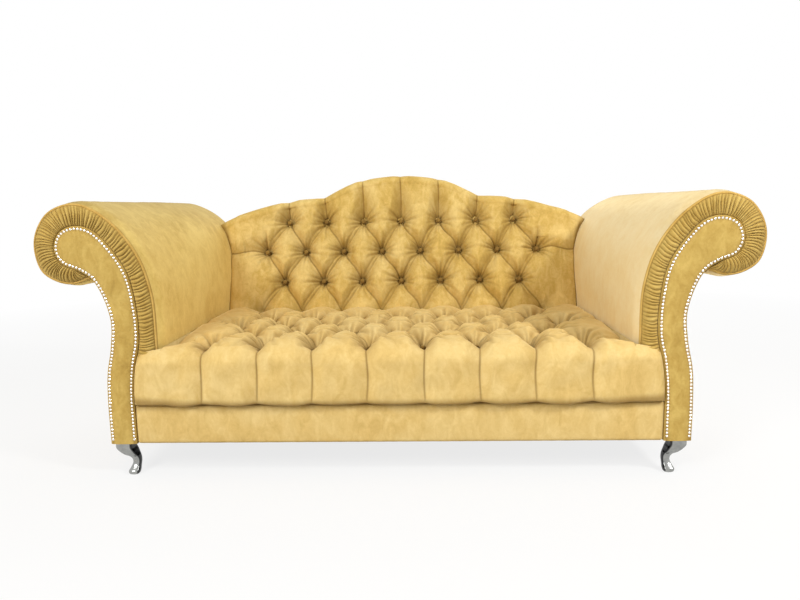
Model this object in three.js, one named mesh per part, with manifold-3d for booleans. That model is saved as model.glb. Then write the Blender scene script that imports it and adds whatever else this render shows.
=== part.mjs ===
// A deep-buttoned camel-back sofa with two rolled scroll arms, gathered arm fronts, studded facings
// and polished cabriole legs. Millimetres, +Z up, the front towards -Y, the origin on the floor
// under the middle of the sofa.
import * as THREE from "three";
import { mergeVertices } from "three/addons/utils/BufferGeometryUtils.js";
import Module from "manifold-3d";

const wasm = await Module();
wasm.setup();

// Driving sizes of the whole sofa
const overallWidth = 2300;
const overallDepth = 1000;
const armWidth = 392; // each arm, from the seat's side to the outside of its scroll
const legHeight = 110;
const frameHeight = 130; // the base under the seat
const seatHeight = 450; // top of the seat's pillows
const armHeight = 899;
const backHeight = 1007; // middle of the crest
const clearance = 0.3; // between pieces that touch
const overrun = 20; // how far a cutter runs past what it cuts

// Layers
const seatOverhang = 30; // the seat's front roll stands this far in front of the facings
const facingThickness = 24;
const boardThickness = 18;
const panelThickness = 12; // covered outer panels
const railThickness = 25;
const clothThickness = 1.5;

// Arm padding and its trim
const armPadThickness = 32;
const armPadSwell = 13; // the padding stands this far proud of the piping
const armEdgeRun = 44; // length over which the padding swells behind the piping
const armFootGap = 2.55; // from the base up to the padding's lower edge
const rearFullness = 30; // extra padding inside the top of the arm, near the back
const pipingRadius = 4.5;
const nailPitch = 11.6;
const nailHeadWidth = 10.4;
const nailHeadHeight = 4;
const nailNeckWidth = 4;
const nailNeckHeight = 1.2;
const nailInset = 6.5; // from the facing's edge to the middle of the nail line
const gatherCount = 36; // ribs of the gathered band
const gatherDepth = 4;
const gatherCrown = 7; // the band bulges this much between its two edges
const bandEdgeThickness = 9;
const bandClearance = 2.5;

// Tufting
const buttonsAcross = 8; // in the wide rows
const sideMarginPitches = 0.66;
const columnsPerPitch = 4;
const seatRows = 4; // rows with buttons. One more row lies in the crease before the back.
const seatTuftDepth = 60;
const backTuftDepth = 50;
const seatFrontMargin = 135; // from the front of the seat to the first row of buttons
const seatJointMargin = 4; // from the crease's row of tufts to the foot of the back
const seatRollRadius = 75;
const seatUndercut = 32; // the front roll's lower edge stands this far behind its front
const earUndercut = 12; // the same, where the seat reaches out in front of the arms
const earRollRadius = 40;
const earDrop = 32; // the seat's front corners fall this much towards the facings
const earRetreat = 12; // and curve back this much
const sideDrop = 24; // how far the seat's pillows fall away beside the arms
const backRows = 3;
const backTopRowDrop = 84.6; // from the lowest part of the crest above a button to the top row
const backJointDrop = 24; // from the seat's top to the back's last row of tufts
const crestRollRadius = 34;
const pleatDepth = 12; // of the folds over the front roll and the crest
const buttonRadius = 11;
const buttonHeight = 6;
const buttonBackDepth = 14; // its covered cone, pulled into the tuft
const buttonLift = 1.2; // from the bottom of the tuft to the tip of the cone
const twineWidth = 3;
const twineHoleWidth = 4.2;

// Back
const backDepth = 281; // from the padded front of the back, at its foot, to the rear
const backTopThickness = 56; // the same, at the top
const backPadFoot = 126; // thickness of the back's padding at its foot
const crestWood = 25; // thickness of the crest rail at its top
const crestCap = 24; // padding over the wooden crest rail
const crestDrop = 108; // scale of the crest's fall towards the arms
const crestRailHeight = 37; // height of the crest rail's ends
const ribThickness = 30;

// Webbing and tie strips
const strapCount = 5;
const strapWidth = 60;
const strapThickness = 2;
const stripWidth = 30;
const stripThickness = 3;

// Legs
const legTopSize = 52;
const legSideInset = 8; // from the outer face of the arm to the leg
const legFrontInset = 3; // from the facing to the leg
const legStudSetback = 17; // from the middle of the leg to its stud, away from the facing
const legBlockDepth = 110;
const legBlockHeight = 38;
const studRadius = 4;
const studClearance = 0.2;
const studDepthInBlock = 30;

// Rail inside the arm's scroll
const scrollRailSize = 45;

// Outlines, as shares of the arm's reach (out from the seat) and of its rise (up from the base)
const rollShares = [
  [0.0, 0.168], [0.0, 0.42], [0.012, 0.622], [0.107, 0.784], [0.291, 0.912], [0.515, 0.989],
  [0.673, 1.0], [0.86, 0.963], [0.977, 0.879], [1.0, 0.799], [0.949, 0.713], [0.829, 0.669],
  [0.681, 0.655], [0.53, 0.677],
];
const nailLineShares = [
  [0.258, 0.006], [0.25, 0.228], [0.224, 0.335], [0.181, 0.437], [0.184, 0.57], [0.235, 0.705],
  [0.355, 0.807], [0.49, 0.875], [0.612, 0.89], [0.724, 0.868], [0.77, 0.813], [0.727, 0.761],
  [0.594, 0.731], [0.495, 0.698], [0.416, 0.631], [0.357, 0.519], [0.375, 0.406], [0.421, 0.292],
  [0.436, 0.165], [0.436, 0.006],
];
const facingTurnShare = 0.595; // along the nail line, where its outer side leaves the scroll
const bandMatchShares = [[0.3, 0.36], [0.625, 0.707], [1, 1]]; // along the piping and the facing
const scrollCentreShare = [0.655, 0.83];
const fullnessPlaceShare = 0.42;
const fullnessSpreadShare = 0.13;
const swellTailShare = 0.06;
// The crest, as shares of half the seat's width and of its rise above the arm's top, or below it as
// shares of crestDrop
const crestShares = [
  [0, 1], [0.218, 0.87], [0.353, 0.565], [0.449, 0.111], [0.58, 0.093], [0.739, -0.056],
  [0.91, -0.398], [1.06, -0.75], [1.15, -1],
];
// Depth of a tuft at a button, in a crease's last row, on a fold, beside a fold and mid-pillow
const tuftShares = { button: 1, joint: 0.6, fold: 0.5, shoulder: 0.24, middle: 0 };
const pleatTopShare = 1.6; // depth of a pleat where the roll meets the pillows
const backNarrowShare = 0.07; // by which the back's columns draw together from the seat to the crest
const buttonCrownShares = { radius: 0.8, height: 0.7 };
// The seat's front below its roll: shares of the undercut, of a pleat's depth and of the seat's rise
const frontShares = [[1, 0, 0], [0.35, 0.4, 0.03], [0, 1, 0.2]];
const rimShares = { fall: 0.4, side: 0.4 }; // of the seat's fall and side drop, on its last column
const earFallShares = [0.68, 0.9, 1]; // beside the arm, in the middle of the ear and at its end
const sideShares = { joint: 0.3, rows: 0.5, crest: 0.3 }; // of sideDrop, at the arms
const rearEdgeShare = 0.25; // of a roll's radius, by which its rear edge lies lower
// The leg from top to sole: height, sweep inwards, sweep away from the facing and half width, as
// shares of height and top size
const legShares = [
  [1, 0, 0, 0.5], [0.86, 0, 0, 0.5], [0.72, 0.15, 0.04, 0.46], [0.61, 0.32, 0.07, 0.39],
  [0.53, 0.5, 0.1, 0.29], [0.45, 0.58, 0.12, 0.25], [0.36, 0.6, 0.12, 0.24], [0.27, 0.57, 0.07, 0.26],
  [0.19, 0.53, -0.02, 0.3], [0.1, 0.49, -0.12, 0.35], [0.03, 0.49, -0.13, 0.31], [0, 0.5, -0.12, 0.24],
];
const legCornerShare = 0.35; // of the leg's half width, cut from each corner

// Levels and planes that several pieces share
const frontY = -overallDepth / 2;
const rearY = overallDepth / 2;
const facingY = frontY + seatOverhang;
const boardY = facingY + facingThickness + clearance;
const rearPanelY = rearY - panelThickness;
const rearBoardY = rearPanelY - clearance - boardThickness;
const baseZ = legHeight;
const frameZ = baseZ + clothThickness + clearance;
const frameTop = baseZ + frameHeight;
const strapZ = frameTop + clearance;
const stripZ = strapZ + strapThickness + clearance;
const padZ = stripZ + stripThickness + clearance;
const halfSeat = overallWidth / 2 - armWidth;
const armRise = armHeight - baseZ;
const tuftPitch = (2 * halfSeat) / (buttonsAcross + sideMarginPitches);
const columnStep = tuftPitch / columnsPerPitch;
const lastColumn = (buttonsAcross * columnsPerPitch) / 2 + 1;
const backFootY = rearY - backDepth;
const rearTopY = rearPanelY - clearance;
const crestPeak = Math.max(armHeight, backHeight);
const leanSlope = (rearTopY - backTopThickness - backFootY) / (crestPeak - frameTop);
const backLean = Math.atan(leanSlope);
const crestRailTop = crestPeak - crestCap;
const seatRowPitch = (backFootY - seatJointMargin - frontY - seatFrontMargin) / seatRows;

// Materials
const velvet = new THREE.MeshStandardMaterial({ color: 0xd6b25e, roughness: 0.85 });
const pipingVelvet = new THREE.MeshStandardMaterial({ color: 0xc89f4c, roughness: 0.85 });
const chrome = new THREE.MeshStandardMaterial({ color: 0xb8bcc0, roughness: 0.12, metalness: 1 });
const nickel = new THREE.MeshStandardMaterial({ color: 0xf2e6d8, roughness: 0.2, metalness: 1 });
const beech = new THREE.MeshStandardMaterial({ color: 0xc9a777, roughness: 0.7 });
const webbing = new THREE.MeshStandardMaterial({ color: 0x4b4035, roughness: 0.9 });
const cambric = new THREE.MeshStandardMaterial({ color: 0x1c1c1e, roughness: 0.95 });

// Geometry helpers

// A point of an arm outline from its shares.
function armPoint([out, up]) {
  return new THREE.Vector2(halfSeat + out * armWidth, baseZ + up * armRise);
}

// Points spread evenly along a smooth curve through the given ones.
function smoothLine(points, count) {
  const curve = new THREE.CatmullRomCurve3(
    points.map((p) => new THREE.Vector3(p.x, p.y, 0)),
    false,
    "centripetal",
  );
  curve.arcLengthDivisions = 40 * points.length;
  return curve.getSpacedPoints(count).map((p) => new THREE.Vector2(p.x, p.y));
}

// Moves an open line sideways, to the left of its direction, by an amount that may change along it.
function shiftLine(line, amount) {
  return line.map((p, i) => {
    const before = line[Math.max(i - 1, 0)];
    const after = line[Math.min(i + 1, line.length - 1)];
    const along = after.clone().sub(before).normalize();
    const distance = typeof amount === "function" ? amount(i / (line.length - 1)) : amount;
    return new THREE.Vector2(p.x - along.y * distance, p.y + along.x * distance);
  });
}

function lineLength(line) {
  return line.slice(1).reduce((sum, p, i) => sum + p.distanceTo(line[i]), 0);
}

// The point a share of the way along a line.
function pointAlong(line, share) {
  let left = Math.min(Math.max(share, 0), 1) * lineLength(line);
  for (let i = 1; i < line.length; i++) {
    const step = line[i].distanceTo(line[i - 1]);
    if (left <= step) return line[i - 1].clone().lerp(line[i], step ? left / step : 0);
    left -= step;
  }
  return line[line.length - 1].clone();
}

// The share of a line's length at which it first reaches a height.
function shareAtHeight(line, height) {
  const next = line.findIndex((p) => p.y > height);
  const before = line[next - 1];
  const step = (line[next].distanceTo(before) * (height - before.y)) / (line[next].y - before.y);
  return (lineLength(line.slice(0, next)) + step) / lineLength(line);
}

// Reads a value from a table of pairs by straight lines between them.
function readTable(table, at) {
  for (let i = 1; i < table.length; i++) {
    const [x0, y0] = table[i - 1];
    const [x1, y1] = table[i];
    if (at <= x1) return y0 + ((y1 - y0) * (at - x0)) / (x1 - x0);
  }
  return table[table.length - 1][1];
}

function smoothStep(value) {
  const t = Math.min(Math.max(value, 0), 1);
  return t * t * (3 - 2 * t);
}

// A geometry from points and triangles, with its faces turned outwards.
function facesOf(points, faces) {
  const volume = faces.reduce((sum, face) => sum + volumeUnder(face, points), 0);
  const turned = volume < 0 ? faces.map(([a, b, c]) => [c, b, a]) : faces;
  const geometry = new THREE.BufferGeometry();
  const places = points.flatMap((p) => p.toArray());
  geometry.setAttribute("position", new THREE.Float32BufferAttribute(places, 3));
  geometry.setIndex(turned.flat());
  geometry.computeVertexNormals();
  return geometry;
}

function signedArea(points) {
  return points.reduce((sum, p, i) => sum + p.cross(points[(i + 1) % points.length]), 0);
}

// Triangles over a flat ring, in the ring's own direction. The flat copy is bowed out very slightly,
// so that points in the middle of a straight edge are kept.
function ringFaces(flatRing) {
  const box = new THREE.Box2().setFromPoints(flatRing);
  const centre = box.getCenter(new THREE.Vector2());
  const reach = box.getSize(new THREE.Vector2()).length();
  const bow = 1e-6;
  const bowed = flatRing.map((p) => {
    const arm = p.clone().sub(centre);
    return arm.multiplyScalar(1 - bow * (arm.length() / reach) ** 2);
  });
  const direction = Math.sign(signedArea(bowed));
  return THREE.ShapeUtils.triangulateShape(bowed, []).map(([a, b, c]) => {
    const same = Math.sign(signedArea([bowed[a], bowed[b], bowed[c]])) === direction;
    return same ? [a, b, c] : [c, b, a];
  });
}

function volumeUnder([a, b, c], points) {
  return points[a].dot(new THREE.Vector3().crossVectors(points[b], points[c]));
}

// Closed rings of equal length, joined by faces, with both ends closed. flat gives an end's 2D form.
// Where the surface is tufted, each quad is split along the diagonal that lies deeper in it.
function loft(rings, flat, tufted = false) {
  const size = rings[0].length;
  const points = rings.flat();
  const quads = [];
  for (let r = 0; r + 1 < rings.length; r++) {
    for (let i = 0; i < size; i++) {
      const a = r * size + i;
      const b = r * size + ((i + 1) % size);
      quads.push([a, b, b + size, a + size]);
    }
  }
  const splits = quads.map(([a, b, c, d]) => [[[a, b, c], [a, c, d]], [[a, b, d], [b, c, d]]]);
  const bulk = (pair) => volumeUnder(pair[0], points) + volumeUnder(pair[1], points);
  const outwards = Math.sign(splits.reduce((sum, [first]) => sum + bulk(first), 0));
  const faces = splits.flatMap(([first, second]) => {
    const deeper = outwards * bulk(second) < outwards * bulk(first);
    return tufted && deeper ? second : first;
  });
  const last = (rings.length - 1) * size;
  ringFaces(rings[0].map(flat)).forEach(([a, b, c]) => faces.push([c, b, a]));
  ringFaces(rings[rings.length - 1].map(flat)).forEach(([a, b, c]) => {
    faces.push([last + a, last + b, last + c]);
  });
  return facesOf(points, faces);
}

const acrossAndUp = (p) => new THREE.Vector2(p.x, p.z);
const acrossAndBack = (p) => new THREE.Vector2(p.x, p.y);
const backAndUp = (p) => new THREE.Vector2(p.y, p.z);

// An upright outline, with x across and y up, drawn out from one Y to another.
function slab(outline, fromY, toY) {
  const ringAt = (y) => outline.map((p) => new THREE.Vector3(p.x, y, p.y));
  return loft([ringAt(fromY), ringAt(toY)], acrossAndUp);
}

// A side outline of [y, z] pairs, drawn out from one X to another.
function prism(outline, fromX, toX) {
  const ringAt = (x) => outline.map(([y, z]) => new THREE.Vector3(x, y, z));
  return loft([ringAt(fromX), ringAt(toX)], backAndUp);
}

function block(x0, x1, y0, y1, z0, z1) {
  const geometry = new THREE.BoxGeometry(x1 - x0, y1 - y0, z1 - z0);
  return geometry.translate((x0 + x1) / 2, (y0 + y1) / 2, (z0 + z1) / 2);
}

// A geometry as a solid that can be joined and cut, turned right side out if need be.
function solidOf(geometry) {
  const bare = geometry.clone();
  Object.keys(bare.attributes).forEach((name) => name !== "position" && bare.deleteAttribute(name));
  const merged = mergeVertices(bare, clearance / 1000);
  const solid = new wasm.Manifold(
    new wasm.Mesh({
      numProp: 3,
      vertProperties: new Float32Array(merged.attributes.position.array),
      triVerts: new Uint32Array(merged.index.array),
    }),
  );
  return solid;
}

function geometryOf(solid) {
  const mesh = solid.getMesh();
  const geometry = new THREE.BufferGeometry();
  geometry.setAttribute("position", new THREE.BufferAttribute(new Float32Array(mesh.vertProperties), 3));
  geometry.setIndex(new THREE.BufferAttribute(new Uint32Array(mesh.triVerts), 1));
  geometry.computeVertexNormals();
  return geometry;
}

function cut(geometry, cutters) {
  return geometryOf(cutters.reduce((solid, cutter) => solid.subtract(solidOf(cutter)), solidOf(geometry)));
}

function join(geometries) {
  return geometryOf(geometries.map(solidOf).reduce((a, b) => a.add(b)));
}

// The sofa and its scene graph

const sofa = new THREE.Group();
const rightSide = new THREE.Group();
const leftSide = new THREE.Group();
leftSide.scale.x = -1;
sofa.add(rightSide, leftSide);

function place(name, geometry, material, parent = sofa) {
  const mesh = new THREE.Mesh(geometry, material);
  mesh.name = name;
  parent.add(mesh);
  return mesh;
}

// The same piece on both sides, as two named meshes.
function placePair(name, geometry, material) {
  place(`${name}_right`, geometry, material, rightSide);
  place(`${name}_left`, geometry, material, leftSide);
}

// Arm outlines

const rollSteps = 26;
const facingSteps = 38;
const rollPoints = rollShares.map(armPoint);
rollPoints[0].y = frameTop + armFootGap;
const rollLine = smoothLine(rollPoints, rollSteps); // the padding's surface
const nailLine = smoothLine(nailLineShares.map(armPoint), facingSteps);
const facingLine = shiftLine(nailLine, nailInset);
const rollEnd = rollLine[rollSteps];
const facingTurn = Math.round(facingTurnShare * facingSteps);

// The arm's outer side, from under the scroll down to the base.
const outerFall = facingLine.slice(facingTurn);
const outerStart = outerFall.findIndex((p) => p.y < rollEnd.y);
const outerHead = outerFall[outerStart - 1].clone().lerp(
  outerFall[outerStart],
  (outerFall[outerStart - 1].y - rollEnd.y) / (outerFall[outerStart - 1].y - outerFall[outerStart].y),
);
const outerLine = [outerHead, ...outerFall.slice(outerStart)];

// How full the padding is at a depth: 0 at the piping, 1 from armEdgeRun behind it.
function swellAt(y) {
  return Math.sin((Math.PI / 2) * Math.min(Math.max((y - boardY) / armEdgeRun, 0), 1));
}

// The arm's padded surface at a depth. Near the back it is fuller inside its top.
function armSurface(y) {
  const full = smoothStep((y - frontY / 2) / (backFootY - overrun - frontY / 2));
  return shiftLine(rollLine, (share) => {
    const inside = Math.exp(-(((share - fullnessPlaceShare) / fullnessSpreadShare) ** 2));
    const tail = smoothStep((1 - share) / swellTailShare);
    return rearFullness * full * inside - armPadSwell * (1 - swellAt(y)) * tail;
  });
}

const rearSurface = armSurface(rearY);

// The padded arms

const woodLine = shiftLine(rollLine, -armPadThickness);
const boardLine = shiftLine(rollLine, -armPadThickness - clearance);
const panelInnerLine = shiftLine(outerLine, -panelThickness);
const boardOuterLine = shiftLine(outerLine, -panelThickness - clearance);
const boardInnerX = boardLine[0].x;
const boardFootLine = boardOuterLine.filter((p) => p.y < frameTop + 2 * overrun);
const boardOuterX = Math.min(...boardFootLine.map((p) => p.x));

// A board of the arm, from a height above the floor, with the scroll at its top.
function armBoard(fromZ, fromY) {
  const inner = [new THREE.Vector2(boardInnerX, fromZ), ...boardLine.filter((p) => p.y > fromZ)];
  const outer = [...boardOuterLine.filter((p) => p.y > fromZ), new THREE.Vector2(boardOuterX, fromZ)];
  return slab([...inner, ...outer], fromY, fromY + boardThickness);
}

function armPad() {
  const edgeSteps = 3;
  const fullnessSteps = 3;
  const fullFrom = frontY / 2;
  const fullTo = backFootY - overrun;
  const depths = [];
  for (let i = 0; i <= edgeSteps; i++) depths.push(boardY + (armEdgeRun * i) / edgeSteps);
  for (let i = 0; i <= fullnessSteps; i++) depths.push(fullFrom + ((fullTo - fullFrom) * i) / fullnessSteps);
  depths.push(rearPanelY - clearance);
  const rings = depths.map((y) => {
    const outline = [...armSurface(y), ...woodLine.slice().reverse()];
    return outline.map((p) => new THREE.Vector3(p.x, y, p.y));
  });
  return loft(rings.reverse(), acrossAndUp);
}

// The studded facing, in one piece from the base to the middle of the scroll.
function facing() {
  const first = facingLine[0];
  const last = facingLine[facingSteps];
  const outline = [new THREE.Vector2(first.x, baseZ), ...facingLine, new THREE.Vector2(last.x, baseZ)];
  return slab(outline, facingY, facingY + facingThickness);
}

// Dome-headed nails on a common strip, as a beaded line that narrows between the heads.
function nailTrim() {
  const nails = Math.round(lineLength(nailLine) / nailPitch);
  const backPlane = facingY - clearance;
  const line = smoothLine(nailLineShares.map(armPoint), 2 * nails);
  const rings = line.map((p, i) => {
    const head = i % 2 === 1;
    const halfWidth = (head ? nailHeadWidth : nailNeckWidth) / 2;
    const height = head ? nailHeadHeight : nailNeckHeight;
    const before = line[Math.max(i - 1, 0)];
    const after = line[Math.min(i + 1, line.length - 1)];
    const along = after.clone().sub(before).normalize();
    const side = new THREE.Vector2(-along.y, along.x).multiplyScalar(halfWidth);
    return [
      new THREE.Vector3(p.x + side.x, backPlane, p.y + side.y),
      new THREE.Vector3(p.x, backPlane - height, p.y),
      new THREE.Vector3(p.x - side.x, backPlane, p.y - side.y),
    ];
  });
  return loft(rings, (p) => new THREE.Vector2(p.x, p.y));
}

// The piping starts where the arm's front rises out of the base.
const pipingPath = shiftLine(rollLine, -armPadSwell);
const bandOuterLine = shiftLine(pipingPath, -pipingRadius - bandClearance);
const bandInnerLine = shiftLine(facingLine, bandClearance).slice(0, facingTurn + 1);
const bandFootZ = rollPoints[0].y + 2 * bandClearance;
const bandMatch = [[0, shareAtHeight(bandInnerLine, bandFootZ)], ...bandMatchShares];

function piping() {
  const points = pipingPath.map((p) => new THREE.Vector3(p.x, boardY - clearance - pipingRadius, p.y));
  const path = new THREE.CatmullRomCurve3(points, false, "centripetal");
  const section = new THREE.Shape();
  const sides = 6;
  for (let i = 0; i < sides; i++) {
    const angle = (2 * Math.PI * i) / sides;
    const at = new THREE.Vector2(Math.cos(angle), Math.sin(angle)).multiplyScalar(pipingRadius);
    if (i) section.lineTo(at.x, at.y);
    else section.moveTo(at.x, at.y);
  }
  return new THREE.ExtrudeGeometry(section, { steps: 36, bevelEnabled: false, extrudePath: path });
}

// Cloth gathered into ribs between the piping and the facing.
function gatheredBand() {
  const backPlane = boardY - clearance;
  const rings = [];
  for (let i = 0; i <= 2 * gatherCount; i++) {
    const along = i / (2 * gatherCount);
    const outer = pointAlong(bandOuterLine, along);
    const inner = pointAlong(bandInnerLine, readTable(bandMatch, along));
    const middle = outer.clone().lerp(inner, 1 / 2);
    const rib = i % 2 ? gatherDepth : 0;
    const edgePlane = backPlane - bandEdgeThickness;
    rings.push([
      new THREE.Vector3(outer.x, backPlane, outer.y),
      new THREE.Vector3(outer.x, edgePlane, outer.y),
      new THREE.Vector3(middle.x, edgePlane - gatherCrown - rib, middle.y),
      new THREE.Vector3(inner.x, edgePlane, inner.y),
      new THREE.Vector3(inner.x, backPlane, inner.y),
    ]);
  }
  return loft(rings, (p) => new THREE.Vector2(p.x, p.y));
}

function outsideArmPanel() {
  const outline = [...outerLine, new THREE.Vector2(outerLine[outerLine.length - 1].x, baseZ)];
  const inner = [new THREE.Vector2(panelInnerLine[panelInnerLine.length - 1].x, baseZ)];
  inner.push(...panelInnerLine.slice().reverse());
  return slab([...outline, ...inner], boardY, rearPanelY - clearance);
}

// The flat covered panel that closes the arm at the rear.
function armBackPanel() {
  const edge = shiftLine(rearSurface, -clearance);
  const outline = [new THREE.Vector2(edge[0].x, baseZ), ...edge, ...outerLine];
  outline.push(new THREE.Vector2(outerLine[outerLine.length - 1].x, baseZ));
  return slab(outline, rearPanelY, rearY);
}

function scrollRail() {
  const centre = armPoint(scrollCentreShare);
  const half = scrollRailSize / 2;
  const fromY = boardY + boardThickness + clearance;
  const toY = rearBoardY - clearance;
  return block(centre.x - half, centre.x + half, fromY, toY, centre.y - half, centre.y + half);
}

const boardFootZ = frameZ + legBlockHeight + clearance;
placePair("arm_front_board", armBoard(boardFootZ, boardY), beech);
placePair("arm_rear_board", armBoard(boardFootZ, rearBoardY), beech);
placePair("arm_scroll_rail", scrollRail(), beech);
placePair("arm_pad", armPad(), velvet);
placePair("arm_facing", facing(), velvet);
placePair("nail_trim", nailTrim(), nickel);
placePair("arm_piping", piping(), pipingVelvet);
placePair("gathered_band", gatheredBand(), velvet);
placePair("outside_arm_panel", outsideArmPanel(), velvet);
placePair("arm_back_panel", armBackPanel(), velvet);

// The base

const railInnerX = boardInnerX - clearance;
const frontRailRear = boardY + railThickness;
const seatBackRailY = backFootY + backPadFoot - railThickness;
const backRailY = rearPanelY - clearance - railThickness;
const blockInnerX = boardInnerX;
const blockOuterX = boardOuterX;
const blockFrontRear = boardY + legBlockDepth;
const blockRearFront = rearPanelY - clearance - legBlockDepth;

place("front_rail", block(-railInnerX, railInnerX, boardY, frontRailRear, frameZ, frameTop), beech);
place(
  "seat_back_rail",
  block(-railInnerX, railInnerX, seatBackRailY, seatBackRailY + railThickness, frameZ, frameTop),
  beech,
);
place(
  "back_rail",
  block(-railInnerX, railInnerX, backRailY, backRailY + railThickness, frameZ, frameTop),
  beech,
);
const stretcherFromY = frontRailRear + clearance;
const stretcherToY = seatBackRailY - clearance;
place(
  "centre_stretcher",
  block(-railThickness / 2, railThickness / 2, stretcherFromY, stretcherToY, frameZ, frameTop),
  beech,
);
const seatSideRail = block(
  railInnerX - railThickness,
  railInnerX,
  stretcherFromY,
  stretcherToY,
  frameZ,
  frameTop,
);
placePair("seat_side_rail", seatSideRail, beech);
const armBaseRail = block(
  blockOuterX - railThickness,
  blockOuterX,
  blockFrontRear + clearance,
  blockRearFront - clearance,
  frameZ,
  frameTop,
);
placePair("arm_base_rail", armBaseRail, beech);

// The covered front of the base, between the two facings
const coverHalfWidth = Math.min(...facingLine.slice(0, 6).map((p) => p.x)) - bandClearance;
place(
  "front_rail_cover",
  block(-coverHalfWidth, coverHalfWidth, facingY, boardY - clearance, baseZ, frameTop),
  velvet,
);

// Webbing under the seat
for (let i = 0; i < strapCount; i++) {
  const x = (2 * halfSeat * (i + 1 / 2)) / strapCount - halfSeat;
  const strap = block(
    x - strapWidth / 2,
    x + strapWidth / 2,
    boardY,
    seatBackRailY + railThickness,
    strapZ,
    strapZ + strapThickness,
  );
  place(`seat_webbing_${i + 1}`, strap, webbing);
}

// Legs, each with a stud that screws up into its block

const legX = outerLine[outerLine.length - 1].x - legSideInset - legTopSize / 2;
const legFrontY = facingY + legFrontInset + legTopSize / 2 + legStudSetback;
const legRearY = rearY - legFrontInset - legTopSize / 2 - legStudSetback;
const studTop = frameZ + studDepthInBlock;

// A right-hand leg with the stud's axis at the origin. Its ankle lies inwards, and its toe outwards
// along facing.
function leg(facing) {
  const topZ = baseZ - clearance;
  const rings = legShares.map(([height, inwards, away, width]) => {
    const half = width * legTopSize;
    const chamfer = half * legCornerShare;
    const shift = inwards * legTopSize;
    const middle = facing * (legStudSetback - away * legTopSize);
    const corners = [[1, -1], [1, 1], [-1, 1], [-1, -1]];
    const points = [];
    corners.forEach(([a, b]) => {
      const short = half - chamfer;
      const alongX = new THREE.Vector3(a * short - shift, b * half + middle, height * topZ);
      const alongY = new THREE.Vector3(a * half - shift, b * short + middle, height * topZ);
      points.push(...(a * b < 0 ? [alongX, alongY] : [alongY, alongX]));
    });
    return points;
  });
  const foot = loft(rings.reverse(), acrossAndBack);
  const studLength = studTop - topZ + studRadius;
  const stud = new THREE.CylinderGeometry(studRadius, studRadius, studLength, 8);
  stud.rotateX(Math.PI / 2).translate(0, 0, studTop - studLength / 2);
  return join([foot, stud]);
}

function studHole(x, y, fromZ, toZ) {
  const radius = (studRadius + studClearance) / Math.cos(Math.PI / 8);
  const hole = new THREE.CylinderGeometry(radius, radius, toZ - fromZ, 8);
  return hole.rotateX(Math.PI / 2).translate(x, y, (fromZ + toZ) / 2);
}

function legBlock(fromY, studY) {
  const wood = block(blockInnerX, blockOuterX, fromY, fromY + legBlockDepth, frameZ, frameZ + legBlockHeight);
  return cut(wood, [studHole(legX, studY, frameZ - overrun, studTop + studRadius / 2)]);
}

placePair("front_leg_block", legBlock(boardY, legFrontY), beech);
placePair("rear_leg_block", legBlock(blockRearFront, legRearY), beech);
placePair("front_leg", leg(-1).translate(legX, legFrontY, 0), chrome);
placePair("rear_leg", leg(1).translate(legX, legRearY, 0), chrome);

const dustCover = cut(
  block(-boardOuterX, boardOuterX, boardY, rearPanelY - clearance, baseZ, baseZ + clothThickness),
  [-1, 1].flatMap((side) =>
    [legFrontY, legRearY].map((y) => studHole(side * legX, y, baseZ - overrun, baseZ + overrun)),
  ),
);
place("dust_cover", dustCover, cambric);

// Tufting that the seat and the back share. Columns are counted in quarter pitches from the middle,
// and rows in half row pitches from a wide row, which has its buttons at every fourth column from 2.

function tuftShare(column, halfRow) {
  const across = [0, 1, 2, 1][(Math.abs(column) + 2) % columnsPerPitch];
  const up = [0, 1, 2, 1][Math.abs(halfRow) % 4];
  const outermost = Math.abs(column) > lastColumn - columnsPerPitch + 1;
  if (outermost) return up === 0 ? tuftShares.fold : up === 1 ? tuftShares.shoulder / 2 : tuftShares.middle;
  if (across === 1 && up === 1) return tuftShares.fold;
  if (across === 1 || up === 1) return tuftShares.shoulder;
  return across === up ? tuftShares.button : tuftShares.middle;
}

// How deep a straight pleat is at a column: 1 on the fold, falling to 0 in the middle of a pillow.
function pleatShare(column, wideRow) {
  const across = (Math.abs(column) + (wideRow ? 2 : 0)) % columnsPerPitch;
  const margin = columnsPerPitch + (wideRow ? -1 : 1);
  const outermost = Math.abs(column) > lastColumn - margin;
  if (outermost) return 0;
  return across === 0 ? 1 : across === 2 ? 0 : tuftShares.shoulder;
}

// Columns of the buttons in a row.
function buttonColumns(wideRow) {
  const first = wideRow ? 2 : 0;
  const columns = [];
  const last = lastColumn - columnsPerPitch + 1;
  for (let c = first; c <= last; c += columnsPerPitch) columns.push(...(c ? [-c, c] : [0]));
  return columns.sort((a, b) => a - b);
}

// A covered button with its axis along +Z and the tip of its back at the origin.
function button() {
  const { radius, height } = buttonCrownShares;
  const profile = [
    new THREE.Vector2(0, 0),
    new THREE.Vector2(buttonRadius, buttonBackDepth),
    new THREE.Vector2(buttonRadius * radius, buttonBackDepth + buttonHeight * height),
    new THREE.Vector2(0, buttonBackDepth + buttonHeight),
  ];
  return new THREE.LatheGeometry(profile, 7).rotateX(Math.PI / 2);
}

// The space that an arm fills, for trimming what lies against it. side is 1 on the right.
function armSpace(side) {
  const edge = shiftLine(rearSurface, clearance);
  const floor = baseZ - overrun;
  const outline = [new THREE.Vector2(edge[0].x, floor), ...edge, new THREE.Vector2(edge[rollSteps].x, floor)];
  const mirrored = outline.map((p) => new THREE.Vector2(side * p.x, p.y));
  return slab(mirrored, backFootY - overrun, rearY + overrun);
}

const bothArms = () => [armSpace(-1), armSpace(1)];
const armFaceX = Math.min(...rearSurface.map((p) => p.x), ...rollLine.map((p) => p.x));

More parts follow.
